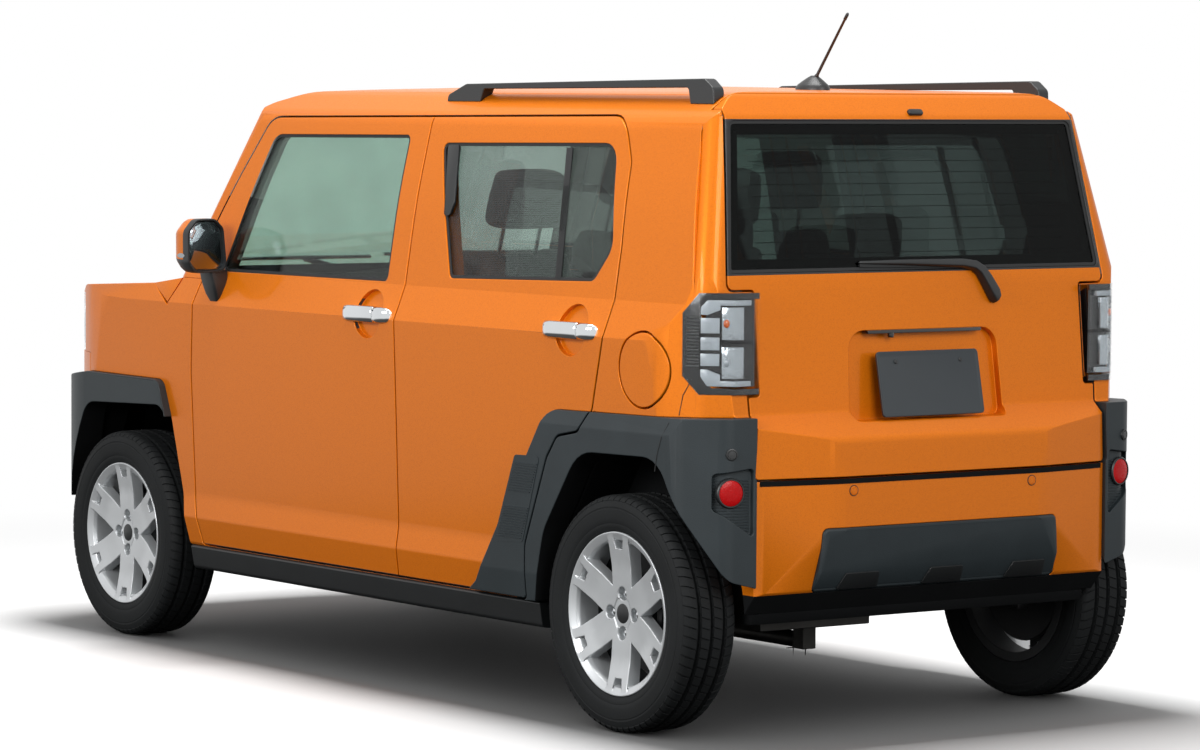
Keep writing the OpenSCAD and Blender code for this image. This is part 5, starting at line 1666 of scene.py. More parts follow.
@dataclass
class DoorMirror:
    """One door mirror: painted cap, black rim and foot, silvered glass and a repeater strip."""

    side: Side
    outline: tuple[Pair, ...] = (
        (0.700, 1.082), (0.806, 1.078), (0.829, 1.112), (0.830, 1.196), (0.800, 1.231), (0.738, 1.232),
        (0.712, 1.205))
    rear_x: float = 0.6115
    split_z: float = 1.118
    middle: Pair = (0.758, 1.155)
    foot: tuple[Quad, ...] = (
        (1.086, 0.690, 0.752, 0.012), (1.050, 0.690, 0.742, 0.008), (1.018, 0.688, 0.731, 0.014),
        (0.997, 0.692, 0.7215, 0.030))
    cap_rows: tuple[Pair, ...] = (
        (0.024, 0.995), (0.034, 1.0), (0.058, 0.985), (0.075, 0.92), (0.086, 0.78), (0.092, 0.52))
    rim_rows: tuple[Pair, ...] = (
        (0.027, 0.97), (0.027, 1.0), (0.006, 1.0), (0.0, 0.985), (0.0, 0.93), (0.006, 0.915), (0.012, 0.90))
    pane_rows: tuple[Pair, ...] = ((0.0125, 0.90), (0.0095, 0.895), (0.0088, 0.88))

    def ring(self, x: float, share: float) -> list[Point]:
        """Returns the outline shrunk about its middle, at a place along the car."""
        my, mz = self.middle
        return [
            (x, my + (y - my) * share, mz + (z - mz) * share)
            for y, z in round_outline(self.outline, 0.028, 5)]

    def dress(self) -> None:
        """Builds cap, rim, glass, foot and repeater."""
        word, sign = self.side.word, self.side.sign
        body = f"front_door_{word}"
        cap = loft([self.ring(self.rear_x + d, s) for d, s in self.cap_rows])
        for face in cap.faces:
            face.material_index = int(face.calc_center_median().z < self.split_z)
        add(
            f"mirror_cap_{word}", mirrored(cap, sign), (PAINT, SATIN_BLACK), body,
            [f"mirror_{word}"], smooth=30.0)
        rim = loft([self.ring(self.rear_x + d, s) for d, s in self.rim_rows])
        add(f"mirror_rim_{word}", mirrored(rim, sign), SATIN_BLACK, body, smooth=30.0)
        pane = loft([self.ring(self.rear_x + d, s) for d, s in self.pane_rows])
        add(f"mirror_pane_{word}", mirrored(pane, sign), MIRROR, body, smooth=30.0)
        rings = []
        for z, y0, y1, inset in self.foot:
            base = rectangle(0.078 - inset, y1 - y0)
            rings.append([(0.654 + u, (y0 + y1) / 2 + v, z) for u, v in round_outline(base, 0.012, 3)])
        foot = loft(rings)
        add(f"mirror_foot_{word}", mirrored(foot, sign), SATIN_BLACK, body, smooth=30.0)
        lens = loft(
            [[(0.648 + 0.020 * math.sin(a) * k, 0.8275 + 0.003 * k, 1.128 + 0.0065 * math.cos(a) * k)
              for a in turns(20)] for k in (1.0, 0.9, 0.4)])
        add(f"mirror_repeater_{word}", mirrored(lens, sign), GUIDE, body)


@dataclass
class DoorHandle:
    """One outside door handle: a chromed lever of rounded section, and the fixed cap behind it."""

    axle: Axle
    side: Side
    front_x: float
    length: float = 0.226
    split: float = 0.71
    gap: float = 0.0018
    half_h: float = 0.0225
    middle_z: float = 0.996
    back_y: float = 0.7135
    out_y: float = 0.7435
    lever: tuple[Triple, ...] = (
        (0.0, 0.30, 0.10), (0.012, 0.58, 0.38), (0.04, 0.82, 0.66), (0.10, 0.95, 0.85), (0.25, 1.0, 0.97),
        (0.55, 1.0, 1.0), (0.985, 0.98, 0.97), (1.0, 0.94, 0.90))
    cap: tuple[Triple, ...] = (
        (0.0, 0.94, 0.90), (0.03, 0.98, 0.96), (0.5, 0.95, 0.92), (0.82, 0.84, 0.70), (0.95, 0.60, 0.40),
        (1.0, 0.32, 0.12))

    def bar(self, start: float, end: float, rows: Sequence[Triple]) -> BMesh:
        """Lofts one part of the handle.

        Args:
            start: X of its front end.
            end: X of its rear end.
            rows: Place along it, share of the height and share of the depth.

        Returns:
            The part, mirrored for the right side.
        """
        rings = []
        for share, tall, deep in rows:
            x, h = start + (end - start) * share, self.half_h * tall
            d = (self.out_y - self.back_y) * deep
            ring = []
            for a in turns(24):
                c, s = math.cos(a), math.sin(a)
                up = math.copysign(abs(s) ** 0.75, s) * h
                out = self.back_y + d * (0.5 + 0.5 * math.copysign(abs(c) ** 0.8, c))
                ring.append((x, out, self.middle_z + up))
            rings.append(ring)
        return mirrored(loft(rings), self.side.sign)

    def dress(self) -> None:
        """Builds lever and cap."""
        tag = f"{self.axle.value}_{self.side.word}"
        middle = self.front_x - self.length * self.split
        lever = self.bar(self.front_x, middle + self.gap / 2, self.lever)
        cap = self.bar(middle - self.gap / 2, self.front_x - self.length, self.cap)
        door = f"{self.axle.value}_door_{self.side.word}"
        add(f"handle_lever_{tag}", lever, CHROME, door, [f"handle_{tag}"], 50.0)
        add(f"handle_cap_{tag}", cap, CHROME, door, smooth=50.0)


@dataclass
class RearWindow:
    """The tailgate's wiper with a bent, tapering arm, its washer nozzle and the roof's antenna."""

    foot: Pair = (-1.579, 1.154)
    slope: float = 0.2011
    arm: tuple[tuple[float, float, float, float, float], ...] = (
        (-0.240, 1.069, 0.011, 0.001, 0.018), (-0.236, 1.076, 0.0165, 0.001, 0.026),
        (-0.230, 1.090, 0.0185, 0.001, 0.030), (-0.208, 1.125, 0.0170, 0.004, 0.032),
        (-0.192, 1.147, 0.0155, 0.006, 0.032), (-0.172, 1.160, 0.0145, 0.007, 0.030),
        (-0.135, 1.166, 0.0130, 0.007, 0.027), (0.040, 1.171, 0.0085, 0.005, 0.019),
        (0.185, 1.173, 0.0045, 0.003, 0.012), (0.192, 1.173, 0.0025, 0.004, 0.009))
    nozzle: Pair = (-0.045, 1.546)
    antenna_x: float = -1.1475
    antenna_tip: Pair = (-1.2905, 1.8005)
    antenna_foot: tuple[Quad, ...] = (
        (-0.004, 0.056, 0.036, 0.0), (0.006, 0.056, 0.036, 0.0), (0.014, 0.049, 0.031, -0.001),
        (0.024, 0.034, 0.021, -0.003), (0.032, 0.020, 0.013, -0.005), (0.037, 0.009, 0.007, -0.006))
    lip: tuple[Pair, ...] = ((-0.125, 1.158), (0.04, 1.163), (0.19, 1.166))
    lip_section: tuple[Pair, ...] = ((-0.002, 0.0012), (0.002, 0.0012), (0.004, 0.008), (-0.004, 0.008))
    rod: tuple[Pair, ...] = (
        (0.0, 0.0065), (0.08, 0.0062), (0.10, 0.0042), (0.90, 0.0034), (0.91, 0.0046), (0.98, 0.0044),
        (1.0, 0.002))

    def on_glass(self, y: float, z: float, out: float) -> Vector:
        """Returns a point over the rear window's plane."""
        x0, z0 = self.foot
        return Vector((x0 + (z - z0) * self.slope, y, z)) + self.normal * out

    @property
    def normal(self) -> Vector:
        """The rear window's outward direction."""
        return Vector((-1.0, 0.0, self.slope)).normalized()

    def dress(self) -> None:
        """Builds wiper, nozzle and antenna."""
        self.wiper()
        point, normal = touch("tailgate", (-3.0, *self.nozzle), (1, 0, 0))
        outline = round_outline(rectangle(0.046, 0.017), 0.007, 4)
        nozzle = plate_mesh(outline, 0.010, facing(point - normal * 0.001, normal), 0.003)
        add("washer_nozzle", nozzle, SATIN_BLACK, "tailgate")
        self.antenna()

    def wiper(self) -> None:
        """Builds the wiper's arm and its rubber lip."""
        spots = [self.on_glass(y, z, 0.0) for y, z, *_ in self.arm]
        rings = []
        for i, (_, _, half, low, high) in enumerate(self.arm):
            along = (spots[min(i + 1, len(spots) - 1)] - spots[max(i - 1, 0)]).normalized()
            side = along.cross(self.normal).normalized()
            base = round_outline(
                [(-half, low), (half, low), (half * 0.7, high), (-half * 0.7, high)], 0.006, 3)
            rings.append([spots[i] + side * u + self.normal * v for u, v in base])
        arm = make_piece("rear_wiper_arm", loft(rings), SATIN_BLACK, 40.0)
        mount(arm, "tailgate", ["rear_wiper"])
        lip = []
        for y, z in self.lip:
            lip.append([self.on_glass(y, z + d, out) for d, out in self.lip_section])
        add("rear_wiper_lip", loft(lip), RUBBER, "tailgate")

    def antenna(self) -> None:
        """Builds the antenna's domed foot and its leaning rod."""
        roof, _ = touch("roof_panel", (self.antenna_x, 0.0, 3.0), (0, 0, -1))
        rings = []
        for rise, long, wide, shift in self.antenna_foot:
            rings.append(
                [(roof.x + shift + long * math.cos(a), wide * math.sin(a), roof.z + rise)
                 for a in turns(28)])
        add("antenna_foot", loft(rings), SATIN_BLACK, "body", ["antenna"], smooth=40.0)
        start = Vector((roof.x - 0.006, 0.0, roof.z + 0.022))
        end = Vector((self.antenna_tip[0], 0.0, self.antenna_tip[1]))
        along = (end - start).normalized()
        side, up = Vector((0, 1, 0)), along.cross(Vector((0, 1, 0)))
        rings = [
            [start.lerp(end, t) + r * (math.cos(a) * side + math.sin(a) * up) for a in turns(12)]
            for t, r in self.rod]
        add("antenna_rod", loft(rings), SATIN_BLACK, "body", smooth=40.0)


@dataclass
class RearTrim:
    """Reflectors in ribbed pockets, sensors, garnish pads and the blank plate at the car's back."""

    reflector: Pair = (0.634, 0.622)
    reflector_r: float = 0.033
    pocket_y: Pair = (0.5835, 0.672)
    pocket_z: Triple = (0.519, 0.586, 0.664)
    rib_pitch: float = 0.0072
    plate_size: Pair = (0.330, 0.165)
    plate_z: float = 0.872
    lamp_bar: Pair = (-1.600, 0.968)
    corner_sensor: Pair = (0.640, 0.717)
    bumper_sensor: Pair = (0.290, 0.617)
    sensor_r: float = 0.012
    pads: tuple[float, ...] = (0.252, -0.020, -0.292)
    pad_w: float = 0.135
    pad: tuple[Pair, Pair] = ((-1.6583, 0.371), (-1.6814, 0.413))
    bend: Pair = (-1.688, 0.425)
    foot: Pair = (-1.655, 0.365)
    garnish_edge: float = 0.007
    seam_z: Pair = (0.6350, 0.6473)
    seam_y: float = 0.556
    valance: tuple[Pair, ...] = ((-1.614, 0.316), (-1.602, 0.288), (-1.560, 0.288), (-1.560, 0.316))
    valance_y: float = 0.54
    damper: tuple[Triple, ...] = ((-1.372, 0.526, 0.258), (-1.374, 0.526, 0.30), (-1.40, 0.520, 0.56))
    damper_r: Pair = (0.017, 0.022)
    damper_eye: tuple[Triple, Triple] = ((-1.398, 0.506, 0.245), (-1.346, 0.546, 0.286))
    back_plate: tuple[Pair, ...] = (
        (0.03, -0.040), (0.148, -0.040), (0.152, -0.036), (0.152, -0.032), (0.03, -0.034))
    plate_rim: tuple[Pair, ...] = (
        (0.0, -0.006), (0.0, -0.0008), (0.001, 0.0), (0.006, 0.0), (0.0085, -0.001))
    screw: tuple[Pair, ...] = (
        (0.0001, 0.0024), (0.0042, 0.0022), (0.0056, 0.001), (0.0058, -0.002), (0.0001, -0.002))
    camera: tuple[Pair, ...] = (
        (0.0001, 0.010), (0.007, 0.009), (0.0085, 0.004), (0.0085, -0.004), (0.0001, -0.004))

    def disc(self, name: str, node: str, spot: Pair, rows: Outline, finish: Finish, slot: str,
             sign: float) -> None:
        """Seats a turned piece on the back of a node.

        Args:
            name: Name of the piece.
            node: The node it sits on.
            spot: Its Y on the left side, and its Z.
            rows: Its section as radius and height.
            finish: Its finish.
            slot: Its material slot, which is not used.
            sign: 1 for the left side and -1 for the right.
        """
        point, normal = touch(node, (-3.0, sign * spot[0], spot[1]), (1, 0, 0))
        add(name, turned(rows, 36, facing(point, normal) @ UPRIGHT), finish, "body")

    def dress(self) -> None:
        """Builds the trim on both sides."""
        r, q = self.reflector_r, self.sensor_r
        lens = [
            (0.0001, 0.0088), (r * 0.5, 0.0084), (r * 0.85, 0.0070), (r * 0.96, 0.0052), (r * 0.97, -0.002),
            (0.0001, -0.002)]
        ring = [
            (r * 0.95, 0.003), (r * 0.98, 0.0072), (r * 1.06, 0.0072), (r * 1.13, 0.0045),
            (r * 1.15, -0.003), (r * 0.95, -0.003)]
        spot = [
            (0.0001, 0.0022), (q * 0.62, 0.002), (q * 0.66, 0.0012), (q * 0.76, 0.0012), (q * 0.8, 0.0022),
            (q * 0.98, 0.0016), (q, -0.001), (0.0001, -0.001)]
        for side in Side:
            word, sign = side.word, side.sign
            self.disc(
                f"reflector_lens_{word}", "rear_arch_cladding", self.reflector, lens, RED_PRISM, "lamp_lens",
                sign)
            self.disc(
                f"reflector_ring_{word}", "rear_arch_cladding", self.reflector, ring, SATIN_BLACK,
                "black_plastic", sign)
            self.disc(
                f"corner_sensor_{word}", "rear_arch_cladding", self.corner_sensor,
                [(a * 1.25, b * 1.6) for a, b in spot], SATIN_BLACK, "black_plastic", sign)
            self.disc(f"bumper_sensor_{word}", "rear_bumper", self.bumper_sensor, spot, PAINT, "paint", sign)
            seal = [(q * 1.0, 0.0014), (q * 1.14, 0.0014), (q * 1.17, -0.001), (q * 0.99, -0.001)]
            self.disc(
                f"sensor_seal_{word}", "rear_bumper", self.bumper_sensor, seal, RUBBER, "black_plastic",
                sign)
            self.pocket_ribs(side)
        self.garnish()
        self.garnish_pads()
        self.bumper_lines()
        self.running_gear()
        self.plate()

    def rib(self, y0: float, y1: float, z: float, sign: float) -> BMesh:
        """Returns one rib that lies along the floor of a reflector's pocket.

        Args:
            y0: Y of the inner end.
            y1: Y of the outer end.
            z: Height.
            sign: 1 for the left side and -1 for the right.
        """
        rings = []
        for k in range(5):
            y = y0 + (y1 - y0) * k / 4
            foot, normal = touch("rear_arch_cladding", (-3.0, sign * y, z), (1, 0, 0))
            rings.append(
                [foot - normal * 0.001 - Vector((0, 0, 0.0021)),
                 foot + normal * 0.0026 - Vector((0, 0, 0.0007)),
                 foot + normal * 0.0026 + Vector((0, 0, 0.0007)),
                 foot - normal * 0.001 + Vector((0, 0, 0.0021))])
        return loft(rings)

    def pocket_ribs(self, side: Side) -> None:
        """Adds the fine ribs in one reflector's pocket: even ones, then shorter ones above its slanting edge.

        Args:
            side: The side of the car.
        """
        y0, y1 = self.pocket_y
        low, bend, high = self.pocket_z
        count = int((high - bend) / self.rib_pitch)
        first, _ = touch("rear_arch_cladding", (-3.0, side.sign * (y0 + y1) / 2, bend), (1, 0, 0))
        last, _ = touch("rear_arch_cladding", (-3.0, side.sign * (y0 + y1) / 2, high), (1, 0, 0))
        step = (last - first) * self.rib_pitch / (high - bend)
        ribs = Repeat.run(
            f"pocket_ribs_{side.word}", self.rib(y0, y1, bend, side.sign), Repeat.row(), CLADDING,
            Matrix.Identity(4), Count=count, Step=tuple(step))
        mount(ribs, "body")
        short = []
        for k in range(1, int((bend - low) / self.rib_pitch)):
            z = bend - k * self.rib_pitch
            short.append(self.rib(y0, y0 + (y1 - y0) * (z - low + 0.004) / (bend - low), z, side.sign))
        add(f"pocket_short_ribs_{side.word}", joined(short), CLADDING, "body")

    def plate(self) -> None:
        """Builds the blank plate with its turned-up rim, its bracket, its screws and the lamp bar over it."""
        point, normal = touch("number_plate", (-3.0, 0.0, self.plate_z), (1, 0, 0))
        w, h = self.plate_size
        place = facing(point, normal)
        rings = []
        for inset, lift in self.plate_rim:
            outline = round_outline(rectangle(w - 2 * inset, h - 2 * inset), 0.012 - inset * 0.5, 5)
            rings.append([place @ Vector((u, v, lift)) for u, v in outline])
        add("blank_plate", loft(rings), PLATE, "tailgate", ["number_plate"], smooth=30.0)
        bracket = plate_mesh(
            round_outline(rectangle(w * 0.66, h * 0.5), 0.01, 3), 0.022,
            place @ Matrix.Translation((0, h * 0.06, -0.027)), 0.002)
        add("plate_bracket", bracket, SATIN_BLACK, "tailgate")
        screw = turned(self.screw, 20, UPRIGHT)
        screws = Repeat.run(
            "plate_screws", screw, Repeat.row(), SATIN_BLACK,
            place @ Matrix.Translation((-0.105, h * 0.34, -0.001)), Count=2, Step=(0.21, 0.0, 0.0))
        mount(screws, "tailgate")
        x, z = self.lamp_bar
        top, _ = touch("tailgate", (x, 0.0, z - 0.04), (0, 0, 1), (x, 0.0, z))
        bar = box_mesh((top.x - 0.012, -0.185, top.z - 0.009), (top.x + 0.014, 0.185, top.z + 0.001), 0.003)
        add("plate_lamp_bar", bar, GLOSS_BLACK, "tailgate")
        seat = Matrix.Translation((top.x - 0.004, 0.105, top.z - 0.010)) @ Matrix.Rotation(
            -math.pi / 2, 4, "X")
        nub = turned(self.camera, 24, seat)
        add("rear_camera", nub, GLOSS_BLACK, "tailgate")

    def garnish_pads(self) -> None:
        """Adds the three raised pads low on the black garnish."""
        parts = []
        for y in self.pads:
            low, high = (Vector((x, y, z)) for x, z in self.pad)
            up = (high - low).normalized()
            out = Vector((0, -1, 0)).cross(up).normalized()
            out = out if out.x < 0 else -out
            w, h = self.pad_w, (high - low).length
            outline = round_outline(
                [(-w / 2, 0), (w / 2 - 0.004, 0), (w / 2 - 0.014, h), (-w / 2 + 0.016, h)], 0.006, 3)
            place = facing(low - out * 0.002, out, up)
            parts.append(plate_mesh(outline, 0.0065, place, 0.002))
        add("garnish_pads", joined(parts), SATIN_BLACK, "body")

    def garnish(self) -> None:
        """Copies the garnish with a bend across it, below which its face leans forward under the car."""
        bm = node_mesh("rear_garnish")
        bmesh.ops.bisect_plane(
            bm, geom=[*bm.verts, *bm.edges, *bm.faces], plane_co=(0, 0, self.bend[1]), plane_no=(0, 0, 1))
        low, high = self.foot[1], self.bend[1]
        for v in bm.verts:
            if v.co.x < -1.64 and v.co.z < high + 0.001:
                share = (v.co.z - low) / (high - low)
                v.co.x = self.foot[0] + (self.bend[0] - self.foot[0]) * share
        round_edges(bm, self.garnish_edge, 24.0, 3)
        mount(soft_piece("rear_garnish_skin", bm, CLADDING), "body", ["rear_garnish"])

    def bumper_lines(self) -> None:
        """Adds a black strip along the bumper's top, which paints shade into the seam under the tailgate and
        widens it, and the valance under its lower edge.
        """
        rings = []
        for k in range(29):
            y = self.seam_y * (k / 14 - 1)
            face, _ = touch("rear_bumper", (-3.0, y, 0.60), (1, 0, 0))
            (z0, z1), x = self.seam_z, face.x
            rings.append([(x + 0.006, y, z0), (x - 0.0015, y, z0), (x - 0.0015, y, z1), (x + 0.006, y, z1)])
        # This strip is painted shade: it darkens the seam between tailgate and bumper with underseal black
        add("bumper_seam_painted_shade", loft(rings), UNDERSEAL, "body")
        ends = (-self.valance_y, self.valance_y)
        valance = loft([[(x, y, z) for x, z in self.valance] for y in ends])
        round_edges(valance, 0.004, 40.0)
        add("rear_valance", valance, UNDERSEAL, "body")

    def running_gear(self) -> None:
        """Adds the rear dampers, each with its lower eye, and the back plates of the drums."""
        for side in Side:
            rod, sleeve = self.damper_r
            parts = [
                tube(self.damper, rod, 14), tube(self.damper[1:], sleeve, 14),
                box_mesh(*self.damper_eye, 0.006)]
            damper = make_piece(f"rear_damper_{side.word}", mirrored(joined(parts), side.sign), CHASSIS)
            mount(damper, "body")
            plate = lathe(self.back_plate, (REAR_AXLE_X, side.sign * TRACK_Y, AXLE_Z), 48, side.sign)
            add(f"drum_back_plate_{side.word}", plate, CHASSIS, "body")


@dataclass
class SideTrim:
    """Ribbed panels, window bars, wedges and seam lines on one side of the car."""

    side: Side
    panel: tuple[Pair, ...] = ((-0.868, 0.668), (-0.978, 0.672), (-0.905, 0.446), (-0.776, 0.440))
    panel_gap: Pair = (0.545, 0.576)
    rib_pitch: float = 0.0066
    bar: tuple[Pair, Pair] = ((-0.930, 1.452), (-0.971, 1.120))
    bar_w: float = 0.026
    wedge: tuple[Pair, ...] = (
        (-0.378, 1.452), (-0.430, 1.452), (-0.458, 1.300), (-0.446, 1.268), (-0.424, 1.262))
    outside: float = 0.75
    seam: tuple[Pair, ...] = ((-1.5425, 0.905), (-1.532, 0.878), (-1.520, 0.857), (-1.510, 0.806))
    clad_seam: tuple[Pair, ...] = ((-1.470, 0.668), (-1.479, 0.709), (-1.496, 0.752), (-1.514, 0.790))

    def on(self, node: str, x: float, z: float, out: float = 0.0) -> Vector:
        """Returns the node's outer surface at a place seen from the side, moved outward.

        Args:
            node: The CAD node.
            x: Place along the car.
            z: Height.
            out: Distance outward.
        """
        sign = self.side.sign
        point, normal = touch(node, (x, sign * 2.0, z), (0, -sign, 0))
        if point is None:
            edge, _ = touch(node, (x, sign * 2.0, z), (0, 0, 1), (x, sign * self.outside, z))
            point, normal = Vector((x, edge.y, z)), Vector((0, sign, 0))
        return point + normal * out

    def patch(self, node: str, outline: Outline, low: float, high: float) -> BMesh:
        """Thickens an outline that lies on a node's surface."""
        rings = [[self.on(node, x, z, d) for x, z in outline] for d in (low, high)]
        return loft(rings)

    def dress(self) -> None:
        """Builds the side's trim."""
        word = self.side.word
        door = f"rear_door_{word}"
        glass, clad = f"rear_glass_{word}", f"door_cladding_{word}"
        (x0, z0), (x1, z1) = self.bar
        half = self.bar_w / 2
        bar = self.patch(
            glass, [(x0 + half, z0), (x0 - half, z0), (x1 - half, z1), (x1 + half, z1)], -0.001, 0.004)
        round_edges(bar, 0.0012, 50.0)
        add(f"window_bar_{word}", bar, RUBBER, door)
        wedge = self.patch(glass, round_outline(self.wedge, 0.01, 3), -0.001, 0.007)
        round_edges(wedge, 0.002, 50.0)
        add(f"window_wedge_{word}", wedge, SATIN_BLACK, door)
        panel = self.patch(clad, round_outline(self.panel, 0.012, 3), -0.002, 0.0012)
        add(f"rib_panel_{word}", panel, CLADDING, door)
        self.ribs(door, clad)
        for name, node, line, body in (
            (f"quarter_seam_{word}", f"body_side_{word}", self.seam, "body"),
            (f"cladding_seam_{word}", "rear_arch_cladding", self.clad_seam, "body")):
            path = [self.on(node, x, z, 0.0001) for x, z in line]
            add(name, tube(path, 0.0013, 6), RUBBER, body)

    def panel_ends(self, z: float, margin: float) -> Pair:
        """Returns the rib panel's front and rear X at a height, less a margin."""
        (ax, az), (bx, bz), (cx, cz), (dx, dz) = self.panel
        return ax + (dx - ax) * (z - az) / (dz - az) - margin, bx + (cx - bx) * (z - bz) / (cz - bz) + margin

    def ribs(self, door: str, clad: str) -> None:
        """Adds the fine ribs above and below the panel's bare band.

        Args:
            door: The body of the door that carries them.
            clad: The cladding's CAD node.
        """
        margin = 0.009
        top, foot = self.panel[0][1] - margin, self.panel[2][1] + margin
        for name, low, high in (("lower", foot, self.panel_gap[0]), ("upper", self.panel_gap[1], top)):
            front, back = self.panel_ends(low, margin)
            shift = self.panel_ends(low + self.rib_pitch, margin)[0] - front
            h = self.rib_pitch * 0.26
            y0, y1 = (self.on(clad, (front + back) / 2, low, d).y for d in (0.0, 0.0034))
            rib = loft(
                [[(x, y0, low - h), (x, y1, low - h * 0.4), (x, y1, low + h * 0.4), (x, y0, low + h)]
                 for x in (front, back)])
            piece = Repeat.run(
                f"ribs_{name}_{self.side.word}", rib, Repeat.row(), CLADDING, Matrix.Identity(4),
                Count=int((high - low) / self.rib_pitch), Step=(shift, 0.0, self.rib_pitch))
            mount(piece, door)


@dataclass
class FrontFace:
    """Headlamps, grille bars, intake mesh and the radiator at the car's front."""

    lamp: Pair = (0.545, 0.880)
    ring_r: float = 0.047
    bars: int = 5
    bar_gap: float = 0.024
    intake_bars: int = 6
    radiator_box: Quad = (1.604, 0.405, 0.33, 0.80)
    fins: int = 60

    def dress(self) -> None:
        """Builds the front's pieces."""
        for side in Side:
            self.headlamp(side)
        grille = soft_copy("grille", "grille_skin", GLOSS_BLACK, 0.002)
        mount(grille, "body", ["grille"])
        bar = box_mesh((-0.004, -0.395, -0.0035), (0.004, 0.395, 0.0035), 0.0015)
        face, _ = touch("grille", (3.0, 0.0, 0.835), (-1, 0, 0))
        bars = Repeat.run(
            "grille_bars", bar, Repeat.row(), SATIN_BLACK, Matrix.Translation((face.x - 0.001, 0, 0.835)),
            Count=self.bars, Step=(-0.0012, 0.0, self.bar_gap))
        mount(bars, "body")
        slat = box_mesh((-0.012, -0.345, -0.005), (0.012, 0.345, 0.005), 0.002)
        slats = Repeat.run(
            "intake_slats", slat, Repeat.row(), SATIN_BLACK, Matrix.Translation((1.660, 0, 0.405)),
            Count=self.intake_bars, Step=(0.0, 0.0, 0.027))
        mount(slats, "body")
        self.radiator()
        post = box_mesh((-0.010, -0.004, 0.0), (0.008, 0.004, 0.150), 0.0015)
        posts = Repeat.run(
            "intake_posts", post, Repeat.row(), SATIN_BLACK, Matrix.Translation((1.655, -0.28, 0.398)),
            Count=5, Step=(0.0, 0.14, 0.0))
        mount(posts, "body")

    def radiator(self) -> None:
        """Adds the radiator behind the grille, with its upright fins."""
        x, half, low, high = self.radiator_box
        core = box_mesh((x - 0.022, -half, low), (x, half, high), 0.004)
        add("radiator_core", core, CHASSIS, "body")
        fin = box_mesh((x - 0.001, -0.0012, low + 0.02), (x + 0.004, 0.0012, high - 0.02))
        fins = Repeat.run(
            "radiator_fins", fin, Repeat.row(), CHASSIS, Matrix.Translation((0, -half + 0.02, 0)),
            Count=self.fins, Step=(0.0, (2 * half - 0.04) / (self.fins - 1), 0.0))
        mount(fins, "body")

    def headlamp(self, side: Side) -> None:
        """Builds one headlamp: lens, black bowl, light ring and projector.

        Args:
            side: The side of the car.
        """
        word, sign = side.word, side.sign
        lens = node_mesh("headlamps")
        bmesh.ops.delete(lens, geom=[v for v in lens.verts if v.co.y * sign < 0], context="VERTS")
        round_edges(lens, 0.003)
        nodes = ["headlamps"] if side is Side.LEFT else []
        add(f"headlamp_lens_{word}", lens, LENS, "body", nodes, smooth=40.0)
        bowl = shrunk("headlamps", 0.012, lambda p: p.y * sign > 0)
        add(f"headlamp_bowl_{word}", bowl, GLOSS_BLACK, "body", smooth=30.0)
        y, z = self.lamp
        point, _ = touch("headlamps", (3.0, sign * y, z), (-1, 0, 0))
        r = self.ring_r
        ring = [
            (r * 0.80, 0.0), (r * 0.84, 0.007), (r * 0.96, 0.007), (r, 0.0), (r, -0.012), (r * 0.80, -0.012)]
        eye = [(0.0001, 0.004), (r * 0.3, 0.002), (r * 0.5, -0.003), (r * 0.58, -0.008), (0.0001, -0.008)]
        turn = Matrix.Translation((point.x - 0.010, sign * y, z)) @ Matrix.Rotation(-math.pi / 2, 4, "Z")
        for name, rows, finish in (("ring", ring, GUIDE), ("eye", eye, CHROME)):
            add(f"headlamp_{name}_{word}", turned(rows, 48, turn), finish, "body")


@dataclass
class Pad:
    """One seat pad: where it lies, how it leans, and how far it may swell."""

    name: str
    middle: Triple
    size: Triple
    lean: float
    fill: float
    cap: float = 0.022
    taper: float = 0.0
    rows: tuple[Pair, ...] = ((-0.5, 0.014), (-0.42, 0.003), (0.0, 0.0), (0.42, 0.003), (0.5, 0.014))

    def block(self) -> BMesh:
        """Returns the pad's form before it swells: a rounded block, narrower at its top by the taper."""
        sx, sy, sz = self.size
        rings = []
        for k, inset in self.rows:
            w = sy * (1 - self.taper * (k + 0.5)) - 2 * inset
            base = round_outline(rectangle(sx - 2 * inset, w), 0.04, 4)
            rings.append([(u, v, k * sz) for u, v in base])
        return loft(rings)

    def place(self) -> Matrix:
        """Returns the pad's place in the car."""
        return Matrix.Translation(self.middle) @ Matrix.Rotation(math.radians(self.lean), 4, "Y")


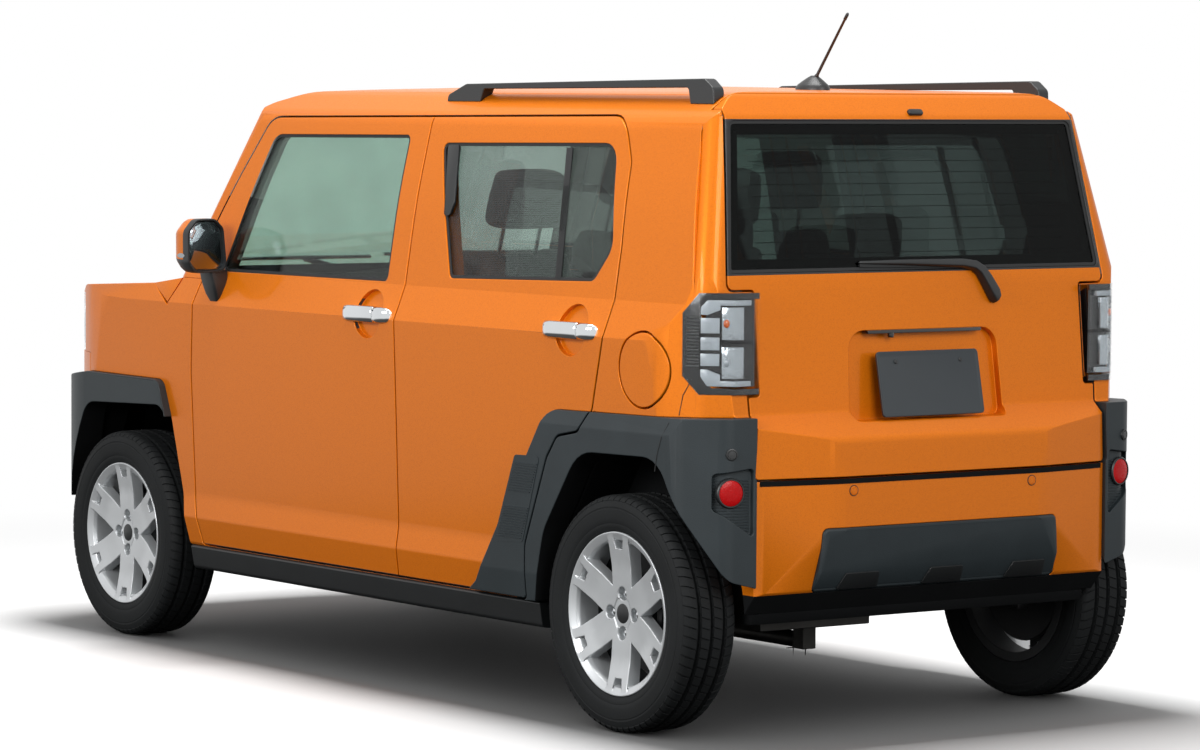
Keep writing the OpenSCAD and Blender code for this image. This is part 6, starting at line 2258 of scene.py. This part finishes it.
@dataclass
class Cabin:
    """Seats with cloth pads, seat frames, dashboard fittings, steering wheel and door armrests."""

    row_y: tuple[tuple[float, ...], tuple[float, ...]] = ((0.332, -0.332), (0.249, -0.249))
    voxel: float = 0.006
    frames: int = 20
    dash_panels: tuple[tuple[str, Pair, Pair, float, Finish], ...] = (
        ("glove_box_lid", (0.165, 0.565), (0.690, 0.850), 0.010, TRIM),
        ("centre_stack", (-0.128, 0.128), (0.670, 0.850), 0.014, SATIN_BLACK),
        ("knee_panel", (-0.565, -0.165), (0.690, 0.850), 0.008, TRIM))
    knob_z: float = 0.800
    knob_gap: float = 0.075
    knob: tuple[Pair, ...] = ((0.0001, 0.030), (0.013, 0.029), (0.016, 0.025), (0.018, 0.0), (0.0001, 0.0))
    cluster_y: float = -0.3335
    cluster_z: float = 1.010
    hood: tuple[Triple, ...] = (
        (0.500, 0.150, 0.062), (0.515, 0.160, 0.070), (0.640, 0.165, 0.055), (0.730, 0.150, 0.010))
    lever: tuple[Triple, ...] = ((0.525, 0.0, 0.715), (0.475, 0.0, 0.742), (0.430, 0.0, 0.775))
    lever_r: float = 0.007
    lever_grip: tuple[Triple, ...] = (
        (0.446, 0.0, 0.762), (0.434, 0.0, 0.771), (0.408, 0.0, 0.790), (0.402, 0.0, 0.795))
    grip_r: float = 0.019
    armrest_z: float = 0.80
    pads: tuple[tuple[Pad, ...], ...] = (
        (Pad("front_cushion", (0.105, 0.0, 0.555), (0.500, 0.430, 0.120), -5.0, 0.7, 0.024),
         Pad("front_back", (-0.215, 0.0, 0.900), (0.105, 0.425, 0.560), -16.0, 0.65, 0.024, 0.16),
         Pad("front_headrest", (-0.338, 0.0, 1.305), (0.090, 0.245, 0.150), -14.0, 0.8, 0.016, 0.12)),
        (Pad("rear_cushion", (-0.635, 0.0, 0.560), (0.470, 0.425, 0.120), -5.0, 0.7, 0.024),
         Pad("rear_back", (-0.945, 0.0, 0.860), (0.100, 0.420, 0.500), -16.0, 0.65, 0.024, 0.10),
         Pad("rear_headrest", (-1.066, 0.0, 1.215), (0.080, 0.235, 0.120), -14.0, 0.8, 0.016, 0.12)))
    vents_y: tuple[float, ...] = (0.50, 0.20, -0.20, -0.555)
    seams: tuple[float, ...] = (-0.22, 0.06, 0.34)
    plinths_x: tuple[Pair, ...] = ((-0.12, 0.33), (-0.86, -0.42))
    armrest: tuple[Triple, ...] = (
        (0.0, 0.012, 0.030), (0.08, 0.046, 0.052), (0.5, 0.052, 0.060), (0.92, 0.044, 0.052),
        (1.0, 0.010, 0.028))

    def swell(self, pad: Pad) -> bpy.types.Mesh:
        """Blows a pad up as cloth and returns its mesh about its own middle.

        Args:
            pad: The pad.

        Returns:
            The swollen mesh, still in the pad's own frame.
        """
        piece = make_piece(f"{pad.name}_form", pad.block(), SEAT_CLOTH)
        remesh = piece.modifiers.new("even", "REMESH")
        remesh.mode = "VOXEL"
        remesh.voxel_size = self.voxel
        settle(piece)
        rest = [v.co.copy() for v in piece.data.vertices]
        cloth = piece.modifiers.new("air", "CLOTH")
        cloth.settings.use_pressure = True
        cloth.settings.uniform_pressure_force = 4.0
        cloth.settings.effector_weights.gravity = 0.0
        cloth.point_cache.frame_start = 1
        cloth.point_cache.frame_end = self.frames
        scene = bpy.context.scene
        for frame_number in range(1, self.frames + 1):
            scene.frame_set(frame_number)
        settle(piece)
        scene.frame_set(1)
        for v, start in zip(piece.data.vertices, rest):
            move = v.co - start
            if move.length > pad.cap:
                v.co = start + move.normalized() * pad.cap
        smooth = piece.modifiers.new("smooth", "SMOOTH")
        smooth.factor = 0.5
        smooth.iterations = 4
        settle(piece)
        mesh = piece.data
        bpy.data.objects.remove(piece)
        return mesh

    def channels(self, pad: Pad, mesh: bpy.types.Mesh) -> None:
        """Presses sewn channels into a pad's wearing face and marks its centre cloth.

        Args:
            pad: The pad.
            mesh: Its mesh.
        """
        sx, sy, sz = pad.size
        upright = sz > sx
        mesh.materials.append(SEAT_CENTRE.material())
        for v in mesh.vertices:
            face = v.co.x / (sx / 2) if upright else v.co.z / (sz / 2)
            if face < 0.35:
                continue
            along = v.co.z / sz if upright else v.co.x / sx
            across = abs(v.co.y) / sy
            dip = max(
                math.exp(-((across - 0.30) / 0.016) ** 2),
                *(math.exp(-((along - line) / 0.016) ** 2) for line in self.seams))
            sink = 0.008 * dip if "headrest" not in pad.name else 0.0
            v.co.x -= sink if upright else 0.0
            v.co.z -= 0.0 if upright else sink
        if "headrest" in pad.name:
            return
        for polygon in mesh.polygons:
            c = polygon.center
            face = c.x / (sx / 2) if upright else c.z / (sz / 2)
            polygon.material_index = int(face > 0.35 and abs(c.y) / sy < 0.30)

    def dress(self) -> None:
        """Builds the cabin's pieces."""
        for row, (pads, places) in enumerate(zip(self.pads, self.row_y)):
            node = ("front_seats", "rear_seat")[row]
            for pad in pads:
                mesh = self.swell(pad)
                self.channels(pad, mesh)
                for k, y in enumerate(places):
                    copy = mesh.copy()
                    copy.transform(Matrix.Translation((0, y, 0)) @ pad.place())
                    piece = bpy.data.objects.new(f"{pad.name}_{k + 1}", copy)
                    bpy.context.scene.collection.objects.link(piece)
                    fine = piece.modifiers.new("fine", "SUBSURF")
                    fine.levels = int("headrest" in pad.name)
                    fine.render_levels = fine.levels
                    settle(piece)
                    piece.data.shade_smooth()
                    stands = [node] if pad is pads[0] and k == 0 else []
                    mount(piece, "body", stands)
        self.seat_frames()
        self.dash()
        self.armrests()

    def seat_frames(self) -> None:
        """Adds the plinths under the cushions, the side shields and the headrest posts."""
        for row, places in enumerate(self.row_y):
            x0, x1 = self.plinths_x[row]
            shells, posts = [], []
            for y in places:
                shells.append(box_mesh((x0 + 0.02, y - 0.19, 0.318), (x1 - 0.03, y + 0.19, 0.47), 0.02, 3))
                shells.append(box_mesh((x0 - 0.03, y - 0.215, 0.455), (x1, y + 0.215, 0.492), 0.012, 3))
                shells.append(box_mesh((x0 + 0.03, y - 0.17, 0.3005), (x1 - 0.05, y - 0.135, 0.33), 0.004))
                shells.append(box_mesh((x0 + 0.03, y + 0.135, 0.3005), (x1 - 0.05, y + 0.17, 0.33), 0.004))
                back, head = self.pads[row][1], self.pads[row][2]
                foot = back.place() @ Vector((0, 0, back.size[2] * 0.42))
                top = head.place() @ Vector((0, 0, 0))
                for d in (-0.06, 0.06):
                    posts.append(tube([(foot.x, y + d, foot.z), (top.x, y + d, top.z)], 0.006, 12))
            name = ("front", "rear")[row]
            add(f"{name}_seat_plinths", joined(shells), TRIM, "body")
            add(f"{name}_headrest_posts", joined(posts), CHROME, "body")

    def dash(self) -> None:
        """Dresses the dashboard with its screen, and the steering wheel."""
        mount(soft_copy("dashboard", "dashboard_skin", TRIM, 0.006), "body", ["dashboard"])
        mount(
            soft_copy("steering_wheel", "steering_wheel_skin", GRIP, 0.003), "steering_wheel",
            ["steering_wheel"])
        point, normal = touch("dashboard", (-0.2, 0.0, 0.93), (1, 0, 0))
        outline = round_outline(rectangle(0.235, 0.135), 0.012, 4)
        screen = plate_mesh(outline, 0.012, facing(point - normal * 0.003, normal), 0.002)
        add("dash_screen", screen, GLOSS_BLACK, "body")
        self.vents()
        self.fittings()

    def vents(self) -> None:
        """Adds the dashboard's four air vents."""
        for k, y in enumerate(self.vents_y):
            spot, way = touch("dashboard", (-0.2, y, 0.93), (1, 0, 0))
            place = facing(spot - way * 0.002, way)
            frame_outline = round_outline(rectangle(0.095, 0.062), 0.012, 4)
            surround = plate_mesh(frame_outline, 0.007, place, 0.0015)
            add(f"vent_frame_{k + 1}", surround, SATIN_BLACK, "body")
            slat = box_mesh((-0.040, -0.0022, 0.006), (0.040, 0.0022, 0.0105), 0.0008)
            slats = Repeat.run(
                f"vent_slats_{k + 1}", slat, Repeat.row(), TRIM, place @ Matrix.Translation((0, -0.021, 0)),
                Count=5, Step=(0.0, 0.0105, 0.0))
            mount(slats, "body")

    def fittings(self) -> None:
        """Adds the dashboard's panels and knobs, the hood over the instruments and the gear lever."""
        for name, (y0, y1), (z0, z1), depth, finish in self.dash_panels:
            spot, way = touch("dashboard", (-0.2, (y0 + y1) / 2, (z0 + z1) / 2), (1, 0, 0))
            outline = round_outline(rectangle(y1 - y0, z1 - z0), 0.014, 4)
            panel = plate_mesh(outline, depth, facing(spot - way * 0.002, way), 0.003)
            add(name, panel, finish, "body")
        knob = turned(self.knob, 28, UPRIGHT)
        spot, way = touch("dashboard", (-0.2, 0.0, self.knob_z), (1, 0, 0))
        place = facing(spot, way) @ Matrix.Translation((-self.knob_gap, 0, 0.010))
        knobs = Repeat.run(
            "climate_knobs", knob, Repeat.row(), SATIN_BLACK, place, Count=3, Step=(self.knob_gap, 0.0, 0.0))
        mount(knobs, "body")
        hood = []
        for x, wide, rise in self.hood:
            hood.append(
                [(x, self.cluster_y + wide * math.cos(a), self.cluster_z + rise * math.sin(a))
                 for a in (math.pi * k / 16 for k in range(17))])
        add("instrument_hood", loft(hood), TRIM, "body")
        stick = joined([tube(self.lever, self.lever_r, 12), tube(self.lever_grip, self.grip_r, 16)])
        add("gear_lever", stick, SATIN_BLACK, "body")

    def armrests(self) -> None:
        """Adds an armrest inside each door."""
        for side in Side:
            for row, (x0, x1) in (("front", (-0.16, 0.48)), ("rear", (-0.90, -0.38))):
                door = f"{row}_door_{side.word}"
                point, _ = touch(door, ((x0 + x1) / 2, 0.0, self.armrest_z), (0, side.sign, 0))
                y, z = abs(point.y), self.armrest_z
                rings = []
                for share, out, drop in self.armrest:
                    x = x0 + (x1 - x0) * share
                    base = [
                        (y + 0.002, z + 0.02), (y - out * 0.86, z + 0.02), (y - out, z + 0.008),
                        (y - out * 0.92, z - drop * 0.5), (y - out * 0.4, z - drop), (y + 0.002, z - drop)]
                    rings.append([(x, a, b) for a, b in base])
                rest = loft(rings)
                add(
                    f"armrest_{row}_{side.word}", mirrored(rest, side.sign), TRIM, door,
                    smooth=50.0)


def main() -> None:
    logging.basicConfig(level=logging.INFO, format="%(name)s: %(message)s")
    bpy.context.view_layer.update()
    Studio().dress()
    PaintedPanels().dress()
    Claddings().dress()
    Glazing().dress()
    for axle, axle_x in ((Axle.FRONT, FRONT_AXLE_X), (Axle.REAR, REAR_AXLE_X)):
        for side in Side:
            RoadWheel(axle, side, axle_x).dress()
    for side in Side:
        RearLamp(side).dress()
        DoorMirror(side).dress()
        SideTrim(side).dress()
        for axle, front_x in ((Axle.FRONT, -0.034), (Axle.REAR, -0.974)):
            DoorHandle(axle, side, front_x).dress()
    RearTrim().dress()
    RearWindow().dress()
    FrontFace().dress()
    Cabin().dress()


if __name__ == "__main__":
    main()
